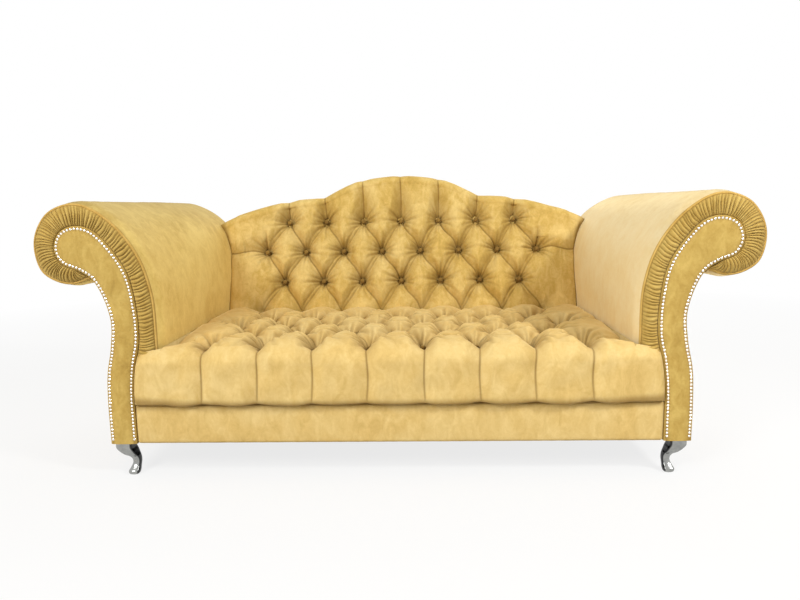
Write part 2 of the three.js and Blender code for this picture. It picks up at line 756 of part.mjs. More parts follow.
// X of a line of the arm at a height, on the line's first, rising part.
function lineX(line, z) {
  for (let i = 1; i < line.length && line[i].y > line[i - 1].y; i++) {
    const a = line[i - 1];
    const b = line[i];
    if (z <= b.y) return a.x + (b.x - a.x) * Math.max((z - a.y) / (b.y - a.y), 0);
  }
  return line[0].x;
}

// The seat

const earRearY = boardY - bandEdgeThickness - gatherCrown - gatherDepth - 2 * clearance;
const rollShadeShare = Math.SQRT1_2;

function backFrontY(z) {
  return backFootY + (z - frameTop) * leanSlope;
}

// Side profile of the seat pad at a column, from its lower front edge over the top to its lower rear.
// fall is 0 over most of the seat, and grows to 1 at the end of an ear.
function seatProfile(column, fall, side, ear) {
  const rise = seatHeight - padZ;
  const pleat = pleatDepth * pleatShare(column, true);
  const retreat = earRetreat * fall;
  const topZ = seatHeight - earDrop * fall;
  const rollRadius = side === 1 ? earRollRadius : seatRollRadius;
  const shade = rollRadius * (1 - rollShadeShare);
  const undercut = side === 1 ? earUndercut : seatUndercut;
  const front = frontShares.map(([under, fold, up]) => {
    return [frontY + retreat + undercut * under + pleat * fold, padZ + rise * up];
  });
  front.push([frontY + retreat + pleat, topZ - rollRadius]);
  front.push([frontY + retreat + shade + pleat, topZ - shade - pleat]);
  const rowsToJoint = 2 * seatRows;
  if (ear) {
    const top = [earRearY, topZ - shade * rearEdgeShare];
    const rest = [top];
    const steps = rowsToJoint + 3;
    for (let i = 1; i <= steps; i++) rest.push([earRearY, top[1] + ((padZ - top[1]) * i) / steps]);
    return [...front, ...rest];
  }
  const rollTopZ = topZ - pleatTopShare * pleat - sideDrop * side * (1 - fall);
  const rollTop = [frontY + seatRollRadius + retreat, rollTopZ];
  const rows = [];
  for (let k = 0; k <= rowsToJoint; k++) {
    const share = tuftShare(column, k) * (k === rowsToJoint ? tuftShares.joint : 1);
    const frontFall = earDrop * fall * Math.max(1 - k / 4, 0);
    const z = seatHeight - seatTuftDepth * share * (1 - side) - sideDrop * side - frontFall;
    rows.push([frontY + seatFrontMargin + (seatRowPitch * k) / 2, z]);
  }
  const jointZ = seatHeight - seatTuftDepth * tuftShares.fold - sideDrop * side * sideShares.joint;
  const rear = [
    [backFrontY(jointZ) - clearance, jointZ],
    [backFrontY(padZ) - clearance, padZ],
  ];
  return [...front, rollTop, ...rows, ...rear];
}

function seatPad() {
  const half = armFaceX - clearance;
  const middle = [];
  for (let c = -lastColumn; c <= lastColumn; c++) {
    const rim = Math.abs(c) === lastColumn ? 1 : 0;
    const fall = rim * rimShares.fall;
    middle.push({ column: c, x: () => c * columnStep, fall, side: rim * rimShares.side, ear: false });
  }
  const earEdge = (z) => lineX(bandInnerLine, z) - 2 * bandClearance;
  const end = { column: lastColumn + 1, side: 1, ear: true };
  const [beside, between, outer] = earFallShares;
  const ends = [
    { ...end, x: () => half, fall: beside, ear: false },
    { ...end, x: () => half + clearance, fall: beside },
    { ...end, x: (z) => (half + earEdge(z)) / 2, fall: between },
    { ...end, x: earEdge, fall: outer },
  ];
  const mirrored = ends.map((e) => ({ ...e, x: (z) => -e.x(z) })).reverse();
  const rings = [...mirrored, ...middle, ...ends].map(({ column, x, fall, side, ear }) =>
    seatProfile(column, fall, side, ear).map(([y, z]) => new THREE.Vector3(x(z), y, z)),
  );
  const holes = [];
  for (let row = 0; row < seatRows; row++) {
    const y = frontY + seatFrontMargin + seatRowPitch * row;
    const w = twineHoleWidth / 2;
    buttonColumns(row % 2 === 0).forEach((c) => {
      const x = c * columnStep;
      holes.push(block(x - w, x + w, y - w, y + w, padZ - overrun, seatHeight));
    });
  }
  return cut(loft(rings, backAndUp, true), holes);
}

// A row of the seat's buttons, each on its twine, tied to a strip under the padding.
function seatButtonRow(row) {
  const y = frontY + seatFrontMargin + seatRowPitch * row;
  const columns = buttonColumns(row % 2 === 0);
  const reach = columns[columns.length - 1] * columnStep + stripWidth;
  const halfStrip = stripWidth / 2;
  const pieces = [block(-reach, reach, y - halfStrip, y + halfStrip, stripZ, stripZ + stripThickness)];
  const tipZ = seatHeight - seatTuftDepth + buttonLift;
  const w = twineWidth / 2;
  columns.forEach((c) => {
    const x = c * columnStep;
    pieces.push(block(x - w, x + w, y - w, y + w, stripZ + stripThickness / 2, tipZ + buttonBackDepth / 2));
    pieces.push(button().translate(x, y, tipZ));
  });
  return join(pieces);
}

place("seat_pad", seatPad(), velvet);
for (let row = 0; row < seatRows; row++) place(`seat_button_row_${row + 1}`, seatButtonRow(row), velvet);

// The back

// The rear face of the back's padding at a height.
function backRearY(z) {
  const foot = backFootY + backPadFoot;
  const top = rearTopY - crestWood;
  return foot + ((top - foot) * (z - frameTop)) / (crestRailTop - frameTop);
}

const stripLayer = stripThickness + 2 * clearance;

function crestZ(x) {
  const share = readTable(crestShares, Math.abs(x) / halfSeat);
  return armHeight + share * (share > 0 ? backHeight - armHeight : crestDrop);
}

// Where a column of the back's tufts lies at a height. The last column runs straight up.
function backColumnX(column, z) {
  const rise = Math.max(z - seatHeight, 0) / (crestPeak - seatHeight);
  const edge = Math.min((lastColumn - Math.abs(column)) / columnsPerPitch, 1);
  return column * columnStep * (1 - backNarrowShare * rise * edge);
}

// The top of the crest over a column.
function crestTop(column) {
  let top = armHeight;
  for (let i = 0; i < 20; i++) top = crestZ(backColumnX(column, top));
  return top;
}

const crestAboveButtons = buttonColumns(false).map(crestTop);
const topRowZ = Math.min(...crestAboveButtons) - backTopRowDrop;
const rowRise = (topRowZ - seatHeight + backJointDrop) / backRows;
const wideRowZ = topRowZ - rowRise;
const crestRailBottom = crestZ(lastColumn * columnStep) - crestCap - crestRailHeight;

// Where the crest comes down to the arm.
let crestEndX = halfSeat;
for (let i = 0; i < 20; i++) crestEndX = (crestEndX + lineX(rearSurface, crestZ(crestEndX))) / 2;

// Side profile of the back pad at a column, from its lower front edge up over the crest and down the
// rear. side is 1 at the arms.
// side is 1 at the arms.
function backProfile(column, top, side) {
  const rollFoot = top - crestRollRadius;
  const firstRow = Math.min(topRowZ, rollFoot - crestRollRadius);
  const points = [];
  const push = (z, depth) => {
    points.push([backFrontY(z) + depth * Math.cos(backLean), z - depth * Math.sin(backLean)]);
  };
  push(padZ + (backTuftDepth / 2) * Math.sin(backLean), backTuftDepth / 2);
  for (let k = -4; k <= 2; k++) {
    const z = k > 0 ? wideRowZ + ((firstRow - wideRowZ) * k) / 2 : wideRowZ + (rowRise * k) / 2;
    const share = tuftShare(column, k) * (k === -4 ? tuftShares.joint : 1);
    const beyond = k === 2 && Math.abs(column) > lastColumn - columnsPerPitch - 1;
    const depth = backTuftDepth * (beyond ? tuftShares.middle : share);
    push(z, depth * (1 - side) + sideDrop * sideShares.rows * side);
  }
  const pleat = pleatDepth * pleatShare(column, false);
  const shade = crestRollRadius * (1 - Math.SQRT1_2);
  push((firstRow + rollFoot) / 2, 2 * pleat + sideDrop * sideShares.crest * side);
  push(rollFoot, pleat);
  const rollY = backFrontY(rollFoot);
  points.push([rollY + shade + pleat, top - shade - pleat]);
  points.push([rollY + crestRollRadius, top - pleat]);
  points.push([rearTopY, top - crestRollRadius * rearEdgeShare - pleat / 2]);
  points.push([rearTopY, top - crestCap]);
  points.push([backRearY(top - crestCap), top - crestCap]);
  points.push([backRearY(padZ), padZ]);
  return points;
}

function backPad() {
  const columns = [];
  for (let c = -lastColumn; c <= lastColumn; c++) {
    columns.push(backProfile(c, crestTop(c), 0).map(([y, z]) => new THREE.Vector3(backColumnX(c, z), y, z)));
  }
  const edge = backProfile(lastColumn + 1, crestZ(crestEndX), 1);
  const edgeX = (z) => lineX(rearSurface, z) + overrun;
  const left = edge.map(([y, z]) => new THREE.Vector3(-edgeX(z), y, z));
  const right = edge.map(([y, z]) => new THREE.Vector3(edgeX(z), y, z));
  const w = twineHoleWidth / 2;
  const holes = [];
  for (let row = 0; row < backRows; row++) {
    const pit = backPit(row);
    buttonColumns(row % 2 === 1).forEach((c) => {
      const x = backColumnX(c, pit.z);
      holes.push(block(x - w, x + w, backFootY, rearTopY, pit.z - w, pit.z + w));
    });
  }
  return cut(loft([left, ...columns, right], backAndUp, true), [...holes, ...bothArms()]);
}

// The bottom of the tufts in a row of the back, counted from the top.
function backPit(row) {
  const z = topRowZ - rowRise * row;
  return {
    y: backFrontY(z) + backTuftDepth * Math.cos(backLean),
    z: z - backTuftDepth * Math.sin(backLean),
  };
}

function backButtonRow(row) {
  const pit = backPit(row);
  const columns = buttonColumns(row % 2 === 1);
  const reach = backColumnX(columns[columns.length - 1], pit.z) + stripWidth;
  const stripY = (z) => backRearY(z) + clearance;
  const low = pit.z - stripWidth / 2;
  const high = pit.z + stripWidth / 2;
  const outline = [
    [stripY(low), low],
    [stripY(low) + stripThickness, low],
    [stripY(high) + stripThickness, high],
    [stripY(high), high],
  ];
  const pieces = [prism(outline, -reach, reach)];
  const w = twineWidth / 2;
  const tip = new THREE.Vector2(pit.y - buttonLift, pit.z);
  columns.forEach((c) => {
    const x = backColumnX(c, pit.z);
    const twineEnd = stripY(pit.z) + stripThickness / 2;
    pieces.push(block(x - w, x + w, tip.x - buttonBackDepth / 2, twineEnd, pit.z - w, pit.z + w));
    pieces.push(button().rotateX(Math.PI / 2 - backLean).translate(x, tip.x, tip.y));
  });
  return join(pieces);
}

place("back_pad", backPad(), velvet);
for (let row = 0; row < backRows; row++) place(`back_button_row_${row + 1}`, backButtonRow(row), velvet);

// The wooden frame of the back

function backPost(fromX, toX) {
  const foot = frameTop + clearance;
  const head = crestRailBottom - clearance;
  const outline = [
    [backRearY(foot) + stripLayer, foot],
    [rearTopY, foot],
    [rearTopY, head],
    [backRearY(head) + stripLayer, head],
  ];
  return prism(outline, fromX, toX);
}

const postOuterX = armFaceX - clearance;
placePair("back_post", backPost(postOuterX - ribThickness, postOuterX), beech);
place("back_centre_post", backPost(-ribThickness / 2, ribThickness / 2), beech);

function crestRail() {
  const half = lastColumn * columnStep;
  const outline = [new THREE.Vector2(-half, crestRailBottom), new THREE.Vector2(half, crestRailBottom)];
  for (let c = lastColumn; c >= -lastColumn; c--) {
    const z = crestTop(c) - crestCap;
    outline.push(new THREE.Vector2(backColumnX(c, z), z - 2 * clearance));
  }
  const front = outline.map((p) => new THREE.Vector3(p.x, backRearY(p.y) + stripLayer, p.y));
  const rear = outline.map((p) => new THREE.Vector3(p.x, rearTopY, p.y));
  return loft([front, rear], acrossAndUp);
}

place("crest_rail", crestRail(), beech);

// The covered panel that closes the back at the rear
function outsideBackPanel() {
  const drop = crestRollRadius * rearEdgeShare;
  const endX = crestEndX + overrun;
  const outline = [new THREE.Vector2(-endX, baseZ), new THREE.Vector2(endX, baseZ)];
  outline.push(new THREE.Vector2(endX, crestZ(crestEndX) - drop));
  for (let c = lastColumn; c >= -lastColumn; c--) {
    outline.push(new THREE.Vector2(c * columnStep, crestZ(c * columnStep) - drop));
  }
  outline.push(new THREE.Vector2(-endX, crestZ(crestEndX) - drop));
  return cut(slab(outline, rearPanelY, rearY), bothArms());
}

place("outside_back_panel", outsideBackPanel(), velvet);

export default sofa;
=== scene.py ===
import math
import bmesh
import bpy
import numpy as np
from mathutils import Matrix, Vector


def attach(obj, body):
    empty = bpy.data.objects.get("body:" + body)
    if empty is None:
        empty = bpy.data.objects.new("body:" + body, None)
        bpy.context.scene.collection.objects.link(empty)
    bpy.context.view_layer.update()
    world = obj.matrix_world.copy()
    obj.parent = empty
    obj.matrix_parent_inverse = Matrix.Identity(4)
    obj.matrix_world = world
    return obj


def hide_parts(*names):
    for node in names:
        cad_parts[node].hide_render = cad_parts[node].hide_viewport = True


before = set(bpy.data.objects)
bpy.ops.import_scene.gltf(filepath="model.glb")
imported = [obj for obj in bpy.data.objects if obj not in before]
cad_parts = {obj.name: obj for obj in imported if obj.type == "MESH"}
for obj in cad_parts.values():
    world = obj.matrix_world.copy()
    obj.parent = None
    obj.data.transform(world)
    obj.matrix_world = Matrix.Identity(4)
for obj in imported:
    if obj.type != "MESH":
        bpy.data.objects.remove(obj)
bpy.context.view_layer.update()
mm = 0.001  # every size below is in millimetres
clearance = 0.3  # between covers that lie side by side


# camera, floor and light

cameraSpec = {
    "focal": 27.9, "sensor": 36.0, "place": (0.080, -2.386, 0.847),
    "yaw": -1.86, "pitch": 8.1, "roll": -1.02,
}
lightSpec = {
    "keyPlace": (-2.3, -3.4, 2.8), "keySize": 1.5, "keyPower": 84.0, "keyAim": (0.0, 0.0, 0.55),
    "fillPlace": (3.0, -2.1, 2.8), "fillSize": 0.7, "fillPower": 94.0,
    "rearPlace": (0.5, 3.4, 2.6), "rearSize": 2.6, "rearPower": 60.0,
    "worldColour": "f4f2ee", "worldStrength": 0.5, "floorColour": "f2f1ee", "floorWhite": 0.80,
    "floorHalf": 30.0, "fadeFrom": 2.2, "fadeTo": 5.0,
}


def linear(hexText):
    # sRGB hex to the linear colour that a shader wants
    values = [int(hexText[i:i + 2], 16) / 255 for i in (0, 2, 4)]
    return [v / 12.92 if v <= 0.04045 else ((v + 0.055) / 1.055) ** 2.4 for v in values] + [1.0]


def feed(tree, node, sockets):
    # links what feeds a node's sockets, by name or index, and sets the rest
    for key, value in sockets.items():
        if isinstance(value, bpy.types.NodeSocket):
            tree.links.new(value, node.inputs[key])
        else:
            node.inputs[key].default_value = value


def addNode(tree, kind, sockets=None, stops=None, **settings):
    # adds a node with its settings, its sockets and, on a colour ramp, its stops
    node = tree.nodes.new(kind)
    for key, value in settings.items():
        setattr(node, key, value)
    feed(tree, node, sockets or {})
    if stops:
        elements = node.color_ramp.elements
        while len(elements) > 1:
            elements.remove(elements[-1])
        elements[0].position, elements[0].color = stops[0]
        for position, colour in stops[1:]:
            elements.new(position).color = colour
    return node


def setCamera(spec):
    data = bpy.data.cameras.new("camera")
    data.lens = spec["focal"]
    data.sensor_width = spec["sensor"]
    camera = bpy.data.objects.new("camera", data)
    yaw, pitch, roll = (math.radians(spec[k]) for k in ("yaw", "pitch", "roll"))
    ahead = Vector((math.sin(yaw) * math.cos(pitch), math.cos(yaw) * math.cos(pitch), -math.sin(pitch)))
    across = Vector((math.cos(yaw), -math.sin(yaw), 0))
    up = across.cross(ahead)
    right = math.cos(roll) * across + math.sin(roll) * up
    top = -math.sin(roll) * across + math.cos(roll) * up
    turn = Matrix((right, top, -ahead)).transposed().to_4x4()
    camera.matrix_world = Matrix.Translation(spec["place"]) @ turn
    bpy.context.scene.collection.objects.link(camera)
    bpy.context.scene.camera = camera


def addLamp(name, place, aim, size, power):
    data = bpy.data.lights.new(name, "AREA")
    data.shape = "DISK"
    data.size = size
    data.energy = power
    lamp = bpy.data.objects.new(name, data)
    lamp.location = place
    lamp.rotation_euler = (Vector(aim) - Vector(place)).to_track_quat("-Z", "Y").to_euler()
    bpy.context.scene.collection.objects.link(lamp)


def seenDirectly(tree):
    # 1 for what the camera sees itself, also in a reflection or through glass
    path = addNode(tree, "ShaderNodeLightPath").outputs
    seen = path["Is Camera Ray"]
    for ray in ("Is Glossy Ray", "Is Transmission Ray"):
        seen = addNode(tree, "ShaderNodeMath", {0: seen, 1: path[ray]}, operation="MAXIMUM").outputs[0]
    return seen


def setStage(spec):
    bpy.context.scene.view_settings.view_transform = "Standard"
    world = bpy.data.worlds.new("studio")
    bpy.context.scene.world = world
    world.use_nodes = True
    tree = world.node_tree
    tree.nodes.clear()
    soft = addNode(tree, "ShaderNodeBackground", {
        "Color": linear(spec["worldColour"]), "Strength": spec["worldStrength"],
    })
    white = addNode(tree, "ShaderNodeBackground", {"Color": (1, 1, 1, 1), "Strength": 1.0})
    mix = addNode(tree, "ShaderNodeMixShader", {0: seenDirectly(tree), 1: soft.outputs[0], 2: white.outputs[0]})
    addNode(tree, "ShaderNodeOutputWorld", {"Surface": mix.outputs[0]})
    mesh = bpy.data.meshes.new("floor")
    far = spec["floorHalf"]
    mesh.from_pydata([(-far, -far, 0), (far, -far, 0), (far, far, 0), (-far, far, 0)], [], [(0, 1, 2, 3)])
    floor = bpy.data.objects.new("floor", mesh)
    bpy.context.scene.collection.objects.link(floor)
    paper = bpy.data.materials.new("paperBackdrop")  # matt seamless paper: even and pale
    paper.use_nodes = True
    tree = paper.node_tree
    tree.nodes.clear()
    matt = addNode(tree, "ShaderNodeBsdfDiffuse", {"Color": linear(spec["floorColour"])})
    glow = addNode(tree, "ShaderNodeEmission", {"Color": (1, 1, 1, 1), "Strength": 1.0})
    place = addNode(tree, "ShaderNodeTexCoord").outputs["Object"]
    away = addNode(tree, "ShaderNodeVectorMath", {0: place}, operation="LENGTH").outputs["Value"]
    white = addNode(tree, "ShaderNodeMapRange", {
        "Value": away, "From Min": spec["fadeFrom"], "From Max": spec["fadeTo"],
        "To Min": spec["floorWhite"], "To Max": 1.0,
    }).outputs[0]  # the paper runs out into plain white
    share = addNode(tree, "ShaderNodeMath", {0: seenDirectly(tree), 1: white}, operation="MULTIPLY")
    mix = addNode(tree, "ShaderNodeMixShader", {0: share.outputs[0], 1: matt.outputs[0], 2: glow.outputs[0]})
    addNode(tree, "ShaderNodeOutputMaterial", {"Surface": mix.outputs[0]})
    mesh.materials.append(paper)
    for side in ("key", "fill", "rear"):
        addLamp(side, spec[side + "Place"], spec["keyAim"], spec[side + "Size"], spec[side + "Power"])


setCamera(cameraSpec)
setStage(lightSpec)
print("stage: camera, floor and lamps")


# materials

velvetSpec = {
    "cloudSize": 110.0, "strokeSize": 18.0, "napSize": 4.2, "grainSize": 1.6, "napShare": 0.5,
    "paintedShadeColour": "74531c", "paintedShadeStrength": 0.82, "against": 0.75, "orientationShadeFrom": -0.55, "orientationShadeTo": 0.6, "shadow": 0.42,
    "stops": (0.31, 0.45, 0.59), "bumps": (1.6, 0.6, 0.3), "bumpStrength": 0.3,
    "roughness": 0.82, "specular": 0.18, "sheen": 0.42, "sheenRoughness": 0.38, "sheenTint": "ffe9ae",
}
paintedReflectionSpec = {"from": -0.62, "to": -0.36, "colour": "141416"}


def newMaterial(name):
    material = bpy.data.materials.new(name)
    material.use_nodes = True
    tree = material.node_tree
    tree.nodes.clear()
    shader = addNode(tree, "ShaderNodeBsdfPrincipled")
    addNode(tree, "ShaderNodeOutputMaterial", {"Surface": shader.outputs[0]})
    place = addNode(tree, "ShaderNodeTexCoord").outputs["Object"]
    return material, tree, shader, place


def mottle(tree, place, size, detail=3.0, stretch=(1, 1, 1), roughness=0.55, distortion=0.0):
    # a random pattern whose blobs are about size millimetres across
    scaled = addNode(tree, "ShaderNodeMapping", {"Vector": place, "Scale": stretch}).outputs[0]
    return addNode(tree, "ShaderNodeTexNoise", {
        "Vector": scaled, "Scale": 0.5 / (size * mm), "Detail": detail,
        "Roughness": roughness, "Distortion": distortion,
    }).outputs["Fac"]


# cut-pile cotton velvet: the pile lies this way and that, so it shows in lighter and darker clouds, with a pale bloom
# where the surface turns away, and painted shade darkens its colour on slopes that turn away from a painted light
# direction
def makeVelvet(name, light, deep, warm, paintedLightFrom=(-0.80, -0.10, 0.59)):
    spec = velvetSpec
    material, tree, shader, place = newMaterial(name)
    clouds = mottle(tree, place, spec["cloudSize"], 4.0, distortion=0.6)
    strokes = mottle(tree, place, spec["strokeSize"], 5.0, (1, 1, 0.55), 0.65, 0.8)
    nap = mottle(tree, place, spec["napSize"], 4.0, roughness=0.7)
    grain = mottle(tree, place, spec["grainSize"], 2.0)
    both = addNode(tree, "ShaderNodeMath", {0: clouds, 1: strokes}, operation="ADD").outputs[0]
    lying = {0: nap, 1: spec["napShare"], 2: both}
    lying = addNode(tree, "ShaderNodeMath", lying, operation="MULTIPLY_ADD").outputs[0]
    even = {0: lying, 1: 1 / (2 + spec["napShare"])}
    share = addNode(tree, "ShaderNodeMath", even, operation="MULTIPLY").outputs[0]
    stops = [(at, linear(colour)) for at, colour in zip(spec["stops"], (deep, warm, light))]
    base = addNode(tree, "ShaderNodeValToRGB", {"Fac": share}, stops).outputs["Color"]
    # painted shade: the more a slope turns from the painted light direction, the more its colour goes to a dark copy
    # of the deep tone
    facing = addNode(tree, "ShaderNodeNewGeometry").outputs["Normal"]
    towardsPaintedLight = {0: facing, 1: Vector(paintedLightFrom).normalized()}
    lean = addNode(tree, "ShaderNodeVectorMath", towardsPaintedLight, operation="DOT_PRODUCT").outputs["Value"]
    strokesAndLight = addNode(tree, "ShaderNodeMath", {0: strokes, 1: 0.5, 2: lean}, operation="MULTIPLY_ADD").outputs[0]
    against = addNode(tree, "ShaderNodeMapRange", {
        "Value": strokesAndLight, "From Min": spec["orientationShadeFrom"], "From Max": spec["orientationShadeTo"],
        "To Min": spec["against"], "To Max": 0.0,
    }).outputs[0]
    dark = [c * spec["shadow"] for c in linear(deep)[:3]] + [1.0]
    shaded = addNode(tree, "ShaderNodeMix", {0: against, 6: base, 7: dark}, data_type="RGBA").outputs[2]
    # painted shade: a per-point attribute takes the colour towards a deep brown in creases, pits, wrinkles, under
    # edges and in joints
    fold = addNode(tree, "ShaderNodeAttribute", attribute_name="fold").outputs["Fac"]
    paintedShadeInputs = {0: fold, 1: spec["paintedShadeStrength"]}
    paintedShadeMix = addNode(tree, "ShaderNodeMath", paintedShadeInputs, operation="MULTIPLY", use_clamp=True).outputs[0]
    colours = {0: paintedShadeMix, 6: shaded, 7: linear(spec["paintedShadeColour"])}
    colour = addNode(tree, "ShaderNodeMix", colours, data_type="RGBA").outputs[2]
    bump = {"Strength": spec["bumpStrength"]}
    for height, distance in zip((strokes, nap, grain), spec["bumps"]):
        bump.update({"Height": height, "Distance": distance * mm})
        bump["Normal"] = normal = addNode(tree, "ShaderNodeBump", bump).outputs[0]
    feed(tree, shader, {
        "Base Color": colour, "Roughness": spec["roughness"], "Specular IOR Level": spec["specular"],
        "Sheen Weight": spec["sheen"], "Sheen Roughness": spec["sheenRoughness"],
        "Sheen Tint": linear(spec["sheenTint"]), "Normal": normal,
    })
    return material


# polished metal, nickel or chrome plate: mirror bright with faint handling marks
def makeMetal(name, colours, roughness, markSize, paintedReflection=0.0):
    material, tree, shader, place = newMaterial(name)
    marks = mottle(tree, place, markSize, 4.0)
    stops = [(0.3, linear(colours[0])), (0.7, linear(colours[1]))]
    base = addNode(tree, "ShaderNodeValToRGB", {"Fac": marks}, stops).outputs["Color"]
    if paintedReflection:
        # painted reflection: sides turned to the middle of the sofa are darkened in colour, standing for the dark
        # under it
        facing = addNode(tree, "ShaderNodeNewGeometry").outputs["Normal"]
        outward = addNode(tree, "ShaderNodeVectorMath", {0: place, 1: facing}, operation="MULTIPLY").outputs["Vector"]
        inner = addNode(tree, "ShaderNodeMapRange", {
            "Value": addNode(tree, "ShaderNodeSeparateXYZ", {0: outward}).outputs["X"],
            "From Min": paintedReflectionSpec["from"], "From Max": paintedReflectionSpec["to"], "To Min": paintedReflection, "To Max": 0.0,
        }).outputs[0]
        tones = {0: inner, 6: base, 7: linear(paintedReflectionSpec["colour"])}
        base = addNode(tree, "ShaderNodeMix", tones, data_type="RGBA").outputs[2]
    dull = {"Value": marks, "To Min": roughness[0], "To Max": roughness[1]}
    bump = {"Height": marks, "Strength": 0.08, "Distance": 0.4 * mm}
    feed(tree, shader, {
        "Metallic": 1.0, "Base Color": base,
        "Roughness": addNode(tree, "ShaderNodeMapRange", dull).outputs[0],
        "Normal": addNode(tree, "ShaderNodeBump", bump).outputs[0],
    })
    return material


# planed beech: straight grain with short dark flecks
def makeBeech():
    material, tree, shader, place = newMaterial("planedBeech")
    grain = mottle(tree, place, 9.0, 5.0, (0.12, 1, 1), distortion=1.2)
    flecks = mottle(tree, place, 2.4, 2.0, (0.2, 1, 1))
    grainStops = [(0.3, linear("b58f62")), (0.5, linear("cbab7c")), (0.72, linear("d8bd92"))]
    fleckStops = [(0.32, linear("8f6b45")), (0.4, (1, 1, 1, 1))]
    base = addNode(tree, "ShaderNodeValToRGB", {"Fac": grain}, grainStops).outputs["Color"]
    dark = addNode(tree, "ShaderNodeValToRGB", {"Fac": flecks}, fleckStops).outputs["Color"]
    tones = {0: 0.5, 6: base, 7: dark}
    bump = {"Height": grain, "Strength": 0.2, "Distance": 0.4 * mm}
    feed(tree, shader, {
        "Base Color": addNode(tree, "ShaderNodeMix", tones, data_type="RGBA", blend_type="MULTIPLY").outputs[2],
        "Roughness": 0.62,
        "Normal": addNode(tree, "ShaderNodeBump", bump).outputs[0],
    })
    return material


# plain woven tape or cloth: crossing threads of a real width, in millimetres
def makeWoven(name, thread, colours):
    material, tree, shader, place = newMaterial(name)
    threads = {"Vector": place, "Scale": 0.31 / (thread * mm), "Distortion": 0.6}
    waves = [addNode(tree, "ShaderNodeTexWave", threads, bands_direction=way).outputs["Fac"] for way in "XY"]
    weave = addNode(tree, "ShaderNodeMath", {0: waves[0], 1: waves[1]}, operation="MULTIPLY").outputs[0]
    wear = mottle(tree, place, 30.0, 4.0)
    total = addNode(tree, "ShaderNodeMath", {0: weave, 1: wear}, operation="ADD").outputs[0]
    half = addNode(tree, "ShaderNodeMath", {0: total, 1: 0.5}, operation="MULTIPLY").outputs[0]
    stops = [(0.25, linear(colours[0])), (0.75, linear(colours[1]))]
    bump = {"Height": weave, "Strength": 0.5, "Distance": 0.8 * mm}
    feed(tree, shader, {
        "Base Color": addNode(tree, "ShaderNodeValToRGB", {"Fac": half}, stops).outputs["Color"],
        "Roughness": 0.9,
        "Normal": addNode(tree, "ShaderNodeBump", bump).outputs[0],
    })
    return material


# the same cloth in lit and shaded copies: the seat and rail in the lit tone, the back, outer panels, left arm,
# facings and bands darker as painted shade, the right arm lighter as painted light, the arms each with their own
# painted light direction, the buttons darkest as painted shade in their pits, and the piping rolled round a cord
seatVelvet = makeVelvet("velvetLitSeat", "eacd8a", "d3af66", "e1bf76")
shadedBackVelvet = makeVelvet("velvetShadedBack", "e8ca80", "bd9a4a", "d6b361")
shadedLeftVelvet = makeVelvet("velvetShadedLeftArm", "e2c778", "c09d4e", "d4b667", (0.9, -0.15, -0.7))
litRightVelvet = makeVelvet("velvetLitRightArm", "fde9b8", "efd292", "f8dfa6", (-0.9, -0.15, -0.4))
shadedFrontVelvet = makeVelvet("velvetShadedFacing", "d4b566", "a98841", "c4a253")
shadedButtonVelvet = makeVelvet("velvetShadedButtons", "9c7a3a", "6b5020", "846630")
trimVelvet = makeVelvet("velvetPiped", "dcb768", "b08b41", "cda555")
nickel = makeMetal("polishedNickel", ("f3ece2", "fffaf2"), (0.10, 0.22), 2.0)
# chrome with a painted reflection of the dark under the sofa on its inner sides
chrome = makeMetal("polishedChrome", ("8d8e8c", "abaca8"), (0.12, 0.24), 14.0, 0.9)
beech = makeBeech()
webbing = makeWoven("juteWebbing", 2.4, ("3d332a", "6b5a49"))
cambric = makeWoven("blackCambric", 1.6, ("121214", "2a2a2d"))
print("materials: velvet, nickel, chrome, beech, webbing, cambric")


# curves and small helpers, in the plane of the arm's front or along a side profile

def smoothLine(points, count):
    # evenly spaced points on a smooth curve through the given ones
    points = np.array(points, float)
    ends = np.vstack([2 * points[0] - points[1], points, 2 * points[-1] - points[-2]])
    parts = []
    t = np.linspace(0, 1, 40, endpoint=False)[:, None]
    for p0, p1, p2, p3 in zip(ends, ends[1:], ends[2:], ends[3:]):
        a, b, c = (math.sqrt(np.linalg.norm(q - p)) for p, q in ((p0, p1), (p1, p2), (p2, p3)))
        leave = ((p1 - p0) / a - (p2 - p0) / (a + b) + (p2 - p1) / b) * b
        arrive = ((p2 - p1) / b - (p3 - p1) / (b + c) + (p3 - p2) / c) * b
        parts.append((2 * t**3 - 3 * t**2 + 1) * p1 + (t**3 - 2 * t**2 + t) * leave
                     + (3 * t**2 - 2 * t**3) * p2 + (t**3 - t**2) * arrive)
    return spread(np.vstack(parts + [points[-1:]]), count)


def lengths(line):
    return np.concatenate([[0], np.cumsum(np.linalg.norm(np.diff(line, axis=0), axis=1))])


def spread(line, count):
    # the same line with count even steps
    run = lengths(line)
    at = np.linspace(0, run[-1], count + 1)
    return np.stack([np.interp(at, run, line[:, k]) for k in range(line.shape[1])], axis=1)


def along(line, share):
    run = lengths(line)
    at = np.clip(share, 0, 1) * run[-1]
    return np.stack([np.interp(at, run, line[:, k]) for k in range(line.shape[1])], axis=-1)


def shiftLine(line, amount):
    # moves a line to the left of its direction
    ahead = np.gradient(line, axis=0)
    ahead /= np.linalg.norm(ahead, axis=1)[:, None]
    return line + np.stack([-ahead[:, 1], ahead[:, 0]], axis=1) * np.reshape(amount, (-1, 1))


def easeIn(value):
    t = np.clip(value, 0, 1)
    return t * t * (3 - 2 * t)


def bulge(value):
    # a quarter circle: steep at 0, level from 1 on
    t = np.clip(value, 0, 1)
    return np.sqrt(1 - (1 - t) ** 2)


def softNoise(a, b, wave, seed, layers=9):
    # smooth random hills of about one wavelength, the same each run
    random = np.random.default_rng(seed)
    total = np.zeros(np.broadcast(a, b).shape)
    for _ in range(layers):
        turn = random.uniform(0, math.tau)
        size = wave * random.uniform(0.7, 1.5)
        total += np.sin((a * math.cos(turn) + b * math.sin(turn)) * math.tau / size + random.uniform(0, math.tau))
    return total / math.sqrt(layers)


